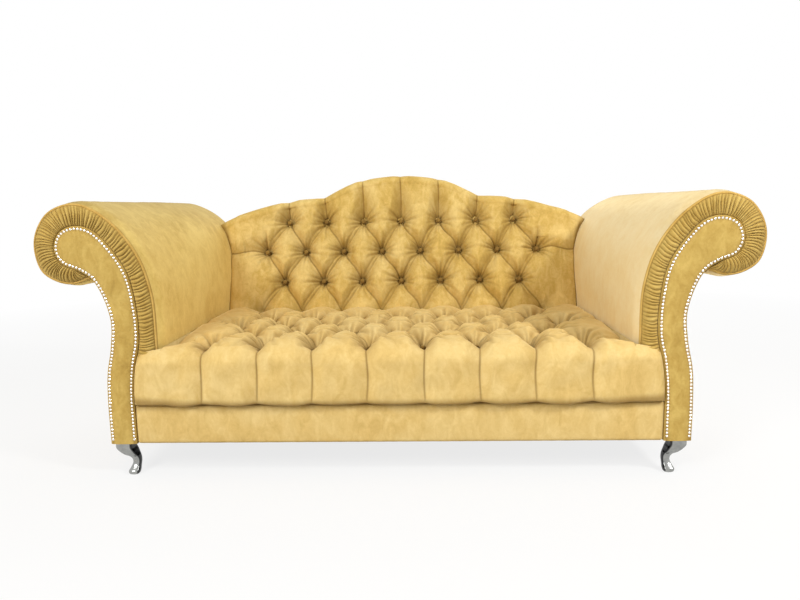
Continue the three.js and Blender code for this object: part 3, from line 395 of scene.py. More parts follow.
def ringQuads(rings, size):
    # faces between closed rings of equal size
    r, i = np.meshgrid(np.arange(rings - 1), np.arange(size), indexing="ij")
    nextI = (i + 1) % size
    quads = np.stack([r * size + i, r * size + nextI, (r + 1) * size + nextI, (r + 1) * size + i], axis=-1)
    return quads.reshape(-1, 4).tolist()


def slabFaces(rings):
    # the same, with a face over each end
    size = len(rings[0])
    last = (len(rings) - 1) * size
    return ringQuads(len(rings), size) + [list(range(size)), list(range(last, last + size))]


def atDepth(line, y):
    # a line of X and Z put at a depth
    return np.stack([line[:, 0], np.broadcast_to(y, len(line)), line[:, 1]], axis=1)


def outwardOf(profiles):
    # unit normals of profiles of Y and Z, out of the cover
    ahead = np.gradient(profiles, axis=1)
    ahead /= np.maximum(np.linalg.norm(ahead, axis=2), 1e-9)[:, :, None]
    return np.stack([-ahead[:, :, 1], ahead[:, :, 0]], axis=2)


def addPiece(name, points, faces, material, slot, nodes, sharpAt=None, fill=None, fold=None):
    # a closed mesh in metres, with its faces outwards, hung under the root and standing in for the CAD parts it hides
    mesh = bpy.data.meshes.new(name)
    mesh.from_pydata((np.asarray(points, float) * mm).tolist(), [], faces)
    # the per-point painted shade that the velvet reads
    if fold is not None:
        mesh.attributes.new("fold", "FLOAT", "POINT").data.foreach_set("value", np.asarray(fold, float).ravel())
    shape = bmesh.new()
    shape.from_mesh(mesh)
    bmesh.ops.remove_doubles(shape, verts=shape.verts, dist=2e-6)
    bmesh.ops.recalc_face_normals(shape, faces=shape.faces)
    shape.to_mesh(mesh)
    shape.free()
    mesh.polygons.foreach_set("use_smooth", [True] * len(mesh.polygons))
    if sharpAt:
        mesh.set_sharp_from_angle(angle=math.radians(sharpAt))
    mesh.materials.append(material)
    piece = bpy.data.objects.new(name, mesh)
    bpy.context.scene.collection.objects.link(piece)
    declare(piece, nodes)


def declare(piece, nodes):
    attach(piece, "root")
    if nodes:
        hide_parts(*nodes)


def bothSides(name, points, faces, material, slot, node, **extra):
    # the right-hand piece and its mirrored twin
    points = np.asarray(points, float)
    for side, sign in (("right", 1), ("left", -1)):
        finish = material[0 if sign > 0 else 1] if isinstance(material, tuple) else material
        addPiece(f"{name}_{side}", points * [sign, 1, 1], faces, finish, slot, [f"{node}_{side}"], **extra)


# the main lines of the sofa

sofa = {
    "frontY": -500.0, "rearY": 500.0, "facingY": -470.0, "boardY": -445.7, "rearPanelY": 488.0,
    "baseZ": 110.0, "frameTop": 240.0, "padZ": 246.0, "halfSeat": 758.0, "armWidth": 392.0, "armRise": 789.0,
    "armTop": 899.0, "backTop": 1007.0, "crestDrop": 108.0, "backFootY": 219.0, "leanSlope": 0.27731,
    "columnStep": 43.764, "pitch": 175.06, "armFace": 752.9, "seatTop": 450.0, "narrow": 0.07, "lastColumn": 743.99,
}
armLines = {
    "roll": [(0.0, 0.168), (0.0, 0.42), (0.012, 0.622), (0.107, 0.784), (0.291, 0.912), (0.515, 0.989),
             (0.673, 1.0), (0.86, 0.963), (0.977, 0.879), (1.0, 0.799), (0.949, 0.713), (0.829, 0.669),
             (0.681, 0.655), (0.53, 0.677)],
    "nails": [(0.258, 0.006), (0.25, 0.228), (0.224, 0.335), (0.181, 0.437), (0.184, 0.57), (0.235, 0.705),
              (0.355, 0.807), (0.49, 0.875), (0.612, 0.89), (0.724, 0.868), (0.77, 0.813), (0.727, 0.761),
              (0.594, 0.731), (0.495, 0.698), (0.416, 0.631), (0.357, 0.519), (0.375, 0.406), (0.421, 0.292),
              (0.436, 0.165), (0.436, 0.006)],
    "facingTurn": 0.605, "padThickness": 32.0, "swell": 13.0, "edgeRun": 44.0, "fullness": 30.0,
    "fullFrom": -250.0, "fullOver": 449.0, "fullAt": 0.42, "fullSpread": 0.13, "swellTail": 0.06,
    "nailInset": 6.5, "pipingRadius": 4.6, "pipingSteps": 330, "pipingSides": 12, "panelThickness": 12.0,
}
humpShares = [(-0.218, 0.85), (0, 1), (0.218, 0.85), (0.3, 0.67), (0.353, 0.5), (0.41, 0.3), (0.458, 0.16)]
wingShares = [(0.458, 0.16), (0.5, 0.125), (0.54, 0.11), (0.6, 0.08), (0.739, -0.08), (0.91, -0.398),
              (1.06, -0.75), (1.15, -1)]


def armPoints(shares):
    return np.array([sofa["halfSeat"], sofa["baseZ"]]) + np.array(shares) * [sofa["armWidth"], sofa["armRise"]]


rollSteps = 210
nailSteps = 600
rollLine = smoothLine(armPoints(armLines["roll"]), rollSteps)
nailLine = smoothLine(armPoints(armLines["nails"]), nailSteps)
facingLine = shiftLine(nailLine, armLines["nailInset"])
facingTurn = int(armLines["facingTurn"] * nailSteps)
pipingPath = shiftLine(rollLine, -armLines["swell"])
woodLine = shiftLine(rollLine, -armLines["padThickness"])
rollEnd = rollLine[-1]
outerLine = facingLine[facingTurn - 12:]
outerLine = outerLine[np.argmax(outerLine[:, 1] < rollEnd[1]):]
outerLine = spread(np.vstack([outerLine, [outerLine[-1][0], sofa["baseZ"]]]), 120)


def armSurface(y):
    # the padded surface of the right arm at a depth
    spec = armLines
    share = np.linspace(0, 1, rollSteps + 1)
    full = easeIn((y - spec["fullFrom"]) / spec["fullOver"])
    inside = np.exp(-(((share - spec["fullAt"]) / spec["fullSpread"]) ** 2))
    rise = math.sin(math.pi / 2 * min(max((y - sofa["boardY"]) / spec["edgeRun"], 0), 1))
    fall = spec["swell"] * (1 - rise) * easeIn((1 - share) / spec["swellTail"])
    return shiftLine(rollLine, spec["fullness"] * full * inside - fall)


rearSurface = armSurface(sofa["rearY"])


def lineX(line, z):
    # X of a line's first, rising part at a height
    stop = int(np.argmax(np.diff(line[:, 1]) < 0)) or len(line)
    return np.interp(z, line[:stop, 1], line[:stop, 0])


crestTable = np.vstack([smoothLine(humpShares, 200), smoothLine(wingShares, 200)[1:]])


def crestZ(x):
    share = np.interp(np.abs(np.asarray(x, float)) / sofa["halfSeat"], crestTable[:, 0], crestTable[:, 1])
    return sofa["armTop"] + share * sofa["crestDrop"]


def crestEnd():
    # where the crest meets the arm
    end = sofa["halfSeat"]
    for _ in range(20):
        end = (end + float(lineX(rearSurface, crestZ(end)))) / 2
    return end


def backX(u, z):
    # the back's columns draw together towards the crest, save the outermost
    rise = np.clip((np.asarray(z, float) - sofa["seatTop"]) / (sofa["backTop"] - sofa["seatTop"]), 0, None)
    edge = np.clip((sofa["lastColumn"] - np.abs(u)) / (4 * sofa["columnStep"]), 0, 1)
    return u * (1 - sofa["narrow"] * rise * edge)


def backFrontY(z):
    return sofa["backFootY"] + (z - sofa["frameTop"]) * sofa["leanSlope"]


# deep buttoning

tuftSpec = {
    "wide": [87.53, 262.59, 437.65, 612.71], "narrow": [0.0, 175.06, 350.12, 525.18],
    "blend": 5.0, "deepest": 2.0, "creaseMargin": 100.0, "buttonMargin": 110.0,
    "pitRadius": 4.0, "pitReach": 56.0, "pitWall": 1.35,
    "reach": 62.0, "reachPower": 0.55, "wall": 1.4, "narrowest": 0.42, "foldShare": 0.52, "curl": 4.5, "wander": 1.5,
    "lap": (1.12, 0.86), "restAt": 0.42, "restPower": 1.6,
    "wrinkleCount": 16, "wrinkleTurn": 0.3, "wrinkleWidth": 1.9, "wrinkleSpread": 0.08, "wrinkleWander": (1.6, 17.0),
    "wrinkleLong": (0.6, 1.2), "wrinkleDeep": (0.45, 1.0), "wrinkleFrom": (5.0, 9.0),
    "doubleDepth": 3.8, "doubleCrisp": 0.6, "doubleAt": 12.0, "doubleWidth": 3.0, "doubleUneven": (0.2, 1.1),
    "foldWidth": 3.0, "foldDepth": 9.0, "foldSoft": 0.7, "heldWidth": 11.0, "shadePower": 1.4,
    "buttonShade": 1.35, "buttonShadeWidth": 14.0, "buttonHeldWidth": 20.0,
}


def columns(wide):
    half = tuftSpec["wide" if wide else "narrow"]
    return sorted({s * x for x in half for s in (-1, 1)})


def lattice(rows, full):
    # creases between the buttons of neighbouring rows; rows are (place, wide, depth)
    spec = tuftSpec
    middle = full * spec["foldShare"]
    creases = []
    for (w0, wide0, d0), (w1, wide1, d1) in zip(rows, rows[1:]):
        for a in columns(wide0):
            for b in columns(wide1):
                if abs(abs(a - b) - sofa["pitch"] / 2) < 1:
                    crisp = (b - a) * (w1 - w0) < 0
                    double = spec["doubleDepth"] * (spec["doubleCrisp"] if crisp else 1.0)
                    crease = pleat((a, w0), (b, w1), (d0, middle, min(middle, d1), d1), (spec["reach"],) * 2)
                    crease.update(curl=spec["curl"] * crisp, crisp=crisp, double=double, narrows=True)
                    creases.append(crease)
    return creases


def pleat(a, b, depths, reach, curl=0.0, tint=0.0):
    # a fold from a to b, with its depth along the way, its reach to each side and its least shade
    return {"a": a, "b": b, "depths": depths, "reach": reach, "curl": curl, "tint": tint,
            "crisp": True, "double": 0, "narrows": False}


def tuftDepth(u, w, creases, buttons, depth, fans, seed):
    # how far the cover lies under its padding's envelope at u across and w along, with painted shade along its fold
    # lines, round its pits, in its wrinkles and deeper down
    spec = tuftSpec
    random = np.random.default_rng(seed)
    power = spec["blend"]
    total, detail, fold, near = (np.zeros(u.shape) for _ in range(4))
    margin = spec["creaseMargin"]
    for crease in creases:
        (ax, ay), (bx, by) = crease["a"], crease["b"]
        run = math.hypot(bx - ax, by - ay)
        dx, dy = (bx - ax) / run, (by - ay) / run
        r0, r1 = crease["reach"]
        touched = (u > min(ax, bx) - margin) & (u < max(ax, bx) + margin)
        touched &= (w > min(ay, by) - margin) & (w < max(ay, by) + margin)
        cu, cw = u[touched], w[touched]
        t = np.clip(((cu - ax) * dx + (cw - ay) * dy) / run, 0, 1)
        offX, offY = cu - ax - t * run * dx, cw - ay - t * run * dy
        wander = spec["wander"] * np.sin(t * 7 + ax) * np.sin(t * math.pi)
        side = offX * dy - offY * dx - crease["curl"] * np.sin(t * math.tau) * np.sin(t * math.pi) - wander
        distance = np.hypot(side, offX * dx + offY * dy)
        depths = crease["depths"]
        if len(depths) == 4:  # steep at both ends and even between
            start, end = (np.clip(1 - q / spec["restAt"], 0, 1) ** spec["restPower"] for q in (t, 1 - t))
            early = depths[1] + (depths[0] - depths[1]) * start
            deep = np.where(t < 0.5, early, depths[2] + (depths[3] - depths[2]) * end)
        else:
            deep = np.interp(t, np.linspace(0, 1, len(depths)), depths)
        reach = r0 + (r1 - r0) * t ** spec["reachPower"]
        if crease["crisp"]:
            reach = reach * np.where(side > 0, *spec["lap"])  # one pillow laps over the other
        if crease["narrows"]:
            reach = reach * (spec["narrowest"] + (1 - spec["narrowest"]) * np.clip(deep / depth, 0, 1))
        total[touched] += (deep * np.clip(1 - distance / reach, 0, 1) ** spec["wall"]) ** power
        # painted shade: a dark line along each fold
        line = np.exp(-((distance / spec["foldWidth"]) ** 2)) * np.clip(deep / spec["foldDepth"], crease["tint"], 1)
        fold[touched] = np.maximum(fold[touched], line * (1.0 if crease["crisp"] else spec["foldSoft"]))
        near[touched] = np.maximum(near[touched], np.exp(-((distance / spec["heldWidth"]) ** 2)))
        if crease["double"]:
            gap = (side - spec["doubleAt"] * (0.6 + 0.4 * np.sin(math.pi * t))) / spec["doubleWidth"]
            double = crease["double"] * np.exp(-gap**2) * np.sin(math.pi * t) ** 0.7
            detail[touched] += double * random.uniform(*spec["doubleUneven"])
    for x, y in buttons:
        touched = (np.abs(u - x) < spec["buttonMargin"]) & (np.abs(w - y) < spec["buttonMargin"])
        offX, offY = u[touched] - x, w[touched] - y
        far = np.hypot(offX, offY)
        wall = np.clip(1 - np.maximum(far - spec["pitRadius"], 0) / spec["pitReach"], 0, 1) ** spec["pitWall"]
        total[touched] += (depth * wall) ** power
        # painted shade round each pit
        shade = spec["buttonShade"] * np.exp(-((far / spec["buttonShadeWidth"]) ** 2))
        fold[touched] = np.maximum(fold[touched], shade)
        near[touched] = np.maximum(near[touched], np.exp(-((far / spec["buttonHeldWidth"]) ** 2)))
        fan = np.zeros(far.shape)
        size = spec["wrinkleWidth"] + spec["wrinkleSpread"] * far
        bend, wave = spec["wrinkleWander"]
        for k in range(spec["wrinkleCount"]):
            turn = math.tau * (k + random.uniform(-spec["wrinkleTurn"], spec["wrinkleTurn"])) / spec["wrinkleCount"]
            ahead = offX * math.cos(turn) + offY * math.sin(turn)
            across = -offX * math.sin(turn) + offY * math.cos(turn) + bend * np.sin(ahead / wave + k)
            long = fans["reach"] * random.uniform(*spec["wrinkleLong"])
            deep = random.uniform(*spec["wrinkleDeep"])
            fan += deep * np.exp(-((across / size) ** 2) - (far / long) ** 2) * (ahead > 0)
        fan *= easeIn((far - spec["wrinkleFrom"][0]) / spec["wrinkleFrom"][1])
        detail[touched] += fans["depth"] * fan
        # painted shade in the wrinkles
        fold[touched] = np.maximum(fold[touched], fans["tint"] * np.clip(fan, 0, 1))
    smooth = np.minimum(total ** (1 / power), depth + spec["deepest"])
    # painted shade, stronger the deeper the cover lies
    fold = np.maximum(fold, fans["shade"] * np.clip(smooth / depth, 0, 1) ** spec["shadePower"])
    return smooth, detail, fold, near


clothSpec = {
    "every": 4, "pressure": 4.0, "frames": 20, "cap": 11.0, "mass": 0.25, "stiffness": 9.0, "bending": 0.35,
    "quality": 5, "heldFrom": 0.3,
}


def puff(points, near):
    # cloth under air pressure, held at the buttons and folds: how far each point of a grid moves
    spec = clothSpec
    rows, cols = (np.unique(np.append(np.arange(0, n, spec["every"]), n - 1)) for n in points.shape[:2])
    start = points[np.ix_(rows, cols)] * mm
    held = near[np.ix_(rows, cols)] > spec["heldFrom"]
    held[0] = held[-1] = held[:, 0] = held[:, -1] = True
    mesh = bpy.data.meshes.new("sheet")
    wide = len(cols)
    corners = [r * wide + c for r in range(len(rows) - 1) for c in range(wide - 1)]
    quads = [(k, k + wide, k + wide + 1, k + 1) for k in corners]
    mesh.from_pydata(start.reshape(-1, 3).tolist(), [], quads)
    sheet = bpy.data.objects.new("sheet", mesh)
    bpy.context.scene.collection.objects.link(sheet)
    group = sheet.vertex_groups.new(name="held")
    group.add(np.flatnonzero(held.ravel()).tolist(), 1.0, "REPLACE")
    cloth = sheet.modifiers.new("cloth", "CLOTH")
    settings = cloth.settings
    settings.quality = spec["quality"]
    settings.mass = spec["mass"]
    settings.tension_stiffness = settings.compression_stiffness = spec["stiffness"]
    settings.bending_stiffness = spec["bending"]
    settings.use_pressure = True
    settings.uniform_pressure_force = spec["pressure"]
    settings.vertex_group_mass = "held"
    settings.effector_weights.gravity = 0
    cloth.collision_settings.use_collision = False
    cloth.point_cache.frame_end = spec["frames"]
    for step in range(1, spec["frames"] + 1):
        bpy.context.scene.frame_set(step)
    solved = sheet.evaluated_get(bpy.context.evaluated_depsgraph_get()).data
    after = np.empty(len(solved.vertices) * 3)
    solved.vertices.foreach_get("co", after)
    moved = (after.reshape(start.shape) - start) / mm
    bpy.context.scene.frame_set(1)
    bpy.data.objects.remove(sheet)
    bpy.data.meshes.remove(mesh)
    size = np.linalg.norm(moved, axis=2, keepdims=True)
    print("cloth moved at most", round(float(size.max()), 1), "mm, on average", round(float(size.mean()), 1))
    moved = np.nan_to_num(moved * np.minimum(1, spec["cap"] / np.maximum(size, 1e-9)))
    across, down = (np.arange(n) for n in points.shape[:2])
    half = np.stack([[np.interp(across, rows, moved[:, c, k]) for c in range(wide)] for k in range(3)], axis=-1)
    full = np.stack([[np.interp(down, cols, half[:, r, k]) for r in across] for k in range(3)], axis=-1)
    return full * (1 - near)[:, :, None]


print("lines: arms, crest and the rules of the buttoning")


# seat

seatSpec = {
    "acrossStep": 3.1, "top": 450.0, "jointZ": 442.0, "rollRadius": 75.0, "earRollRadius": 42.0, "rollAt": [640, 790],
    "rollSteps": 35, "topSteps": 220, "downSteps": 14, "underSteps": 5,
    "face": [(1, 0), (0.52, -2), (0.24, 1.5), (0.08, 13), (0, 50)],  # shares of the undercut, and heights
    "faceSteps": 54,
    "tuftDepth": 60.0, "fans": {"depth": 20.0, "reach": 84.0, "tint": 1.1, "shade": 0.7},
    "rows": [  # place, wide or narrow, depth
        (-365.0, True, 60.0), (-220.0, False, 60.0), (-75.0, True, 60.0), (70.0, False, 60.0), (215.0, True, 34.0),
    ],
    "frontPleat": (60, 58, 52, 34, 17, 11, 9, 8, 7, 6, 4), "frontPleatEnd": -705.0, "frontPleatReach": (60.0, 40.0),
    "frontLean": (7, 12), "frontCurl": 5.0, "jointPleat": (34, 20, 10), "jointPleatRun": 75.0,
    "jointPleatReach": (70.0, 70.0), "sidePleat": (60, 24, 15, 11), "sidePleatEnd": 765.0, "sidePleatDrop": 12.0,
    "sidePleatReach": (70.0, 60.0), "sideCurl": 3.0, "behindEarsY": -446.0, "behindEarsRun": 60.0, "flatRun": 70.0,
    "sinkFrom": -60.0, "sinkRun": 365.0, "footRun": 30.0, "footHeld": (20.0, 40.0), "footShadeAt": (16.0, 26.0),
    "earFrom": 753.0,
    "earDrop": 36.0, "earRetreat": 12.0, "earRearY": -466.4, "earWidth": 97.0, "earRound": 20.0, "earSink": 14.0,
    "earPlace": -425.0, "earSteps": 25, "earGap": 3.2, "sideDrop": 24.0, "sideRun": 62.0, "jointDrop": 30.0,
    "jointRun": 70.0, "undercut": 26.0, "hills": 1.6, "hillSize": 120.0, "sag": 4.5, "sagRun": 34.0,
    "fallAt": [560, 640, 690, 752, 775, 810, 850], "fall": [0, 0.12, 0.42, 0.66, 0.74, 0.88, 1.0], "footShade": 0.75,
}


def seatPoints(spec):
    # the seat's profiles from side to side, with the ears that reach out in front of the arms
    half = sofa["armFace"] - clearance
    inner = np.linspace(-half, half, int(2 * half / spec["acrossStep"]) + 1)
    earShare = np.linspace(0, 1, spec["earSteps"]) ** 0.8
    earShare[0] = 0.004
    across = np.concatenate([-1 - earShare[::-1], inner / half, 1 + earShare])
    innerLine = shiftLine(facingLine, spec["earGap"])[:facingTurn]
    turn = np.linspace(0, math.pi / 2, spec["rollSteps"] + 1)[1:]
    topShare = np.linspace(0, 1, spec["topSteps"] + 1)[1:]
    downShare = np.linspace(0, 1, spec["downSteps"] + 1)[1:, None]
    rearTop = backFrontY(spec["jointZ"]) - clearance
    xs, bases, places, ears = [], [], [], []
    for q in across:
        ear = max(abs(q) - 1, 0)
        x = half + ear * spec["earWidth"] if ear else abs(q) * half
        fall = float(np.interp(x, spec["fallAt"], spec["fall"]))
        endRound = 1 - float(bulge((1 - ear) * spec["earWidth"] / spec["earRound"])) if ear else 0.0
        radius = float(np.interp(x, spec["rollAt"], [spec["rollRadius"], spec["earRollRadius"]]))
        top = spec["top"] - spec["earDrop"] * fall - spec["earSink"] * endRound
        under = spec["undercut"] * (1 - 0.6 * fall) - 0.5 * spec["earRound"] * endRound
        front = sofa["frontY"] + spec["earRetreat"] * fall + spec["earRound"] * endRound
        marks = [(front + under * share, sofa["padZ"] + height) for share, height in spec["face"]]
        face = smoothLine(marks + [(front, top - radius)], spec["faceSteps"])
        roll = np.stack([front + radius * (1 - np.cos(turn)), top - radius * (1 - np.sin(turn))], axis=1)
        if ear:
            late = roll[:, 0] > spec["earRearY"] - 1
            roll[late, 1] = roll[late, 1].max() if not late.all() else top
            roll[:, 0] = np.minimum(roll[:, 0], spec["earRearY"] - 1)
            topY = roll[-1, 0] + topShare * (spec["earRearY"] - roll[-1, 0])
            topZ = np.full(len(topY), roll[-1, 1])
            foot = (spec["earRearY"], sofa["padZ"])
        else:
            topY = roll[-1, 0] + topShare * (rearTop - roll[-1, 0])
            sink = spec["earDrop"] * fall * easeIn((spec["sinkFrom"] - topY) / spec["sinkRun"])
            topZ = spec["top"] - sink - spec["jointDrop"] * (1 - bulge((rearTop - topY) / spec["jointRun"]))
            foot = (backFrontY(sofa["padZ"]) - clearance, sofa["padZ"])
        topLine = np.stack([topY, topZ], axis=1)
        down = topLine[-1] + downShare * (np.array(foot) - topLine[-1])
        base = np.vstack([face, roll, topLine, down])
        run = lengths(np.vstack([face, roll]))
        if ear:
            place = np.concatenate([run - run[-1], np.zeros(len(base) - len(run))]) + spec["earPlace"]
            x = lineX(innerLine, base[:, 1]) - 0.5 - sofa["armFace"]
            x = sofa["armFace"] + ear * x
        else:
            place = np.concatenate([run - run[-1] + roll[-1, 0], topY, np.full(len(down), topY[-1])])
        xs.append(np.broadcast_to(np.sign(q) * x if q else x, len(base)))
        bases.append(base)
        places.append(place)
        ears.append(ear)
    return np.array(xs), np.array(bases), np.array(places), np.array(ears)[:, None]


def makeSeat(spec):
    xs, base, place, ear = seatPoints(spec)
    normal = outwardOf(base)
    creases = lattice(spec["rows"], spec["tuftDepth"])
    first, last = spec["rows"][0][0], spec["rows"][-1][0]
    for x in columns(True):
        lean = np.sign(x) * spec["frontLean"][abs(x) > 600]
        end = (x + lean, spec["frontPleatEnd"])
        curl = -spec["frontCurl"] * np.sign(x)
        creases.append(pleat((x, first), end, spec["frontPleat"], spec["frontPleatReach"], curl))
        end = (x, last + spec["jointPleatRun"])
        creases.append(pleat((x, last), end, spec["jointPleat"], spec["jointPleatReach"]))
    for w, wide, _ in spec["rows"][:-1]:
        if wide:
            for side in (-1, 1):
                start = (side * tuftSpec["wide"][-1], w)
                end = (side * spec["sidePleatEnd"], w + spec["sidePleatDrop"])
                creases.append(pleat(start, end, spec["sidePleat"], spec["sidePleatReach"], spec["sideCurl"]))
    buttons = [(x, w) for w, wide, _ in spec["rows"][:-1] for x in columns(wide)]
    u = np.where(ear > 0, np.sign(xs) * (spec["earFrom"] + spec["earWidth"] * ear), xs)
    depth, detail, fold, near = tuftDepth(u, place, creases, buttons, spec["tuftDepth"], spec["fans"], 11)
    fadeRear = np.ones(base.shape[1])
    fadeRear[-spec["downSteps"]:] = np.linspace(1, 0, spec["downSteps"])
    depth = depth * fadeRear * np.where(ear > 0, 1 - 0.5 * ear, 1)
    inboard = easeIn((place - spec["behindEarsY"]) / spec["behindEarsRun"]) * (ear == 0)
    fromArm = sofa["armFace"] - np.abs(xs)
    depth = depth + spec["sideDrop"] * (1 - bulge(fromArm / spec["sideRun"])) * inboard * fadeRear
    inside = easeIn(fromArm / spec["flatRun"]) * (ear == 0)
    depth = depth + spec["hills"] * softNoise(u, place, spec["hillSize"], 5) * fadeRear * inside
    depth[ear[:, 0] > 0, spec["faceSteps"] + spec["rollSteps"] + 1:] = 0
    fromFoot = place - place[:, :1]
    foot = easeIn(fromFoot / spec["footRun"])
    depth = depth * np.clip(foot + 0.25, 0, 1)
    verts = np.concatenate([xs[:, :, None], base - normal * depth[:, :, None]], axis=2)
    held = np.maximum(near, np.maximum(np.clip(ear * 40, 0, 1), 1 - fadeRear))
    heldTo, over = spec["footHeld"]
    verts = verts + puff(verts, np.maximum(held, 1 - easeIn((fromFoot - heldTo) / over)))
    verts[:, :, 1:] -= normal * (detail * fadeRear * np.clip(foot, 0, 1) * (ear == 0))[:, :, None]
    sag = np.sin(np.pi * (u / sofa["pitch"] + 0.5)) ** 2 * np.exp(-((fromFoot / spec["sagRun"]) ** 2))
    verts[:, :, 2] -= spec["sag"] * sag * (verts[:, :, 1] < sofa["facingY"] - 5) * inside
    # the flat underside closes each ring
    under = np.linspace(0, 1, spec["underSteps"] + 2)[1:-1]
    bottom = verts[:, -1:, :] + (verts[:, :1, :] - verts[:, -1:, :]) * under[None, :, None]
    verts = np.concatenate([verts, bottom], axis=1)
    # painted shade along the seat's lower edge, where it turns under
    shadeTo, over = spec["footShadeAt"]
    fold = np.maximum(fold, spec["footShade"] * (1 - easeIn((fromFoot - shadeTo) / over)))
    fold = np.concatenate([fold, np.zeros((len(fold), spec["underSteps"]))], axis=1)
    faces = slabFaces(verts)
    addPiece("seatCover", verts.reshape(-1, 3), faces, seatVelvet, "velvet", ["seat_pad"], fill=0.85, fold=fold)


makeSeat(seatSpec)
print("seat: buttoned cover")


# back

backSpec = {
    "acrossStep": 3.0, "endRun": 14.0, "endSteps": 22, "foot": 6.0, "faceSteps": 205, "rollRadius": 34.0,
    "rollSteps": 18, "capSteps": 13, "capDrop": 8.5, "tuftDepth": 50.0,
    "fans": {"depth": 12.0, "reach": 56.0, "tint": 0.85, "shade": 0.45},
    "rows": [(816.8, False, 50.0), (686.5, True, 50.0), (556.3, False, 50.0), (426.0, True, 30.0)],
    "crestPleat": (50, 43, 35, 25, 14), "crestTail": [(1, 2), (1, 0), (0.7, 0), (0.5, 0)], "crestTint": 0.42,
    "crestPleatOver": 110.0, "crestPleatReach": (76.0, 34.0), "crestCurl": 1.0,
    "pleats": [(1.0, 3.0), (1.047, 3.0), (1.056, 1.5), (1.027, 3.0)],  # lean outwards and depth over the crest
    "sidePleats": [  # column and row, end, depths, reach and curl
        (612.71, 1, 790.0, -4, (50, 20, 13, 11), (70.0, 44.0), -9.0),
        (612.71, 1, 620.0, 95, (50, 18, 7, 0), (60.0, 30.0), 0.0),
        (525.18, 0, 640.0, 2, (40, 5, 2, 0), (60.0, 30.0), 0.0),
    ],
    "jointPleat": (30, 20, 12), "jointPleatRun": 120.0, "jointPleatReach": (70.0, 70.0), "sideDrop": 13.0,
    "sideRun": 46.0, "sideTop": 900.0, "hills": 1.4, "hillSize": 120.0, "crestFrom": 850.0, "hillRun": 60.0,
    "crestHeldRun": 70.0, "sideHeldRun": 30.0, "footHeld": (300.0, 60.0), "rearFade": 0.35, "rearFadeSteps": 9,
    "jointShade": 0.85, "jointTop": 890.0, "edgeFold": 14.0,
    "woodFrom": (345.0, 240.0), "woodLean": 117.7 / 743, "woodMost": 462.0, "woodFoot": 346.0,
}


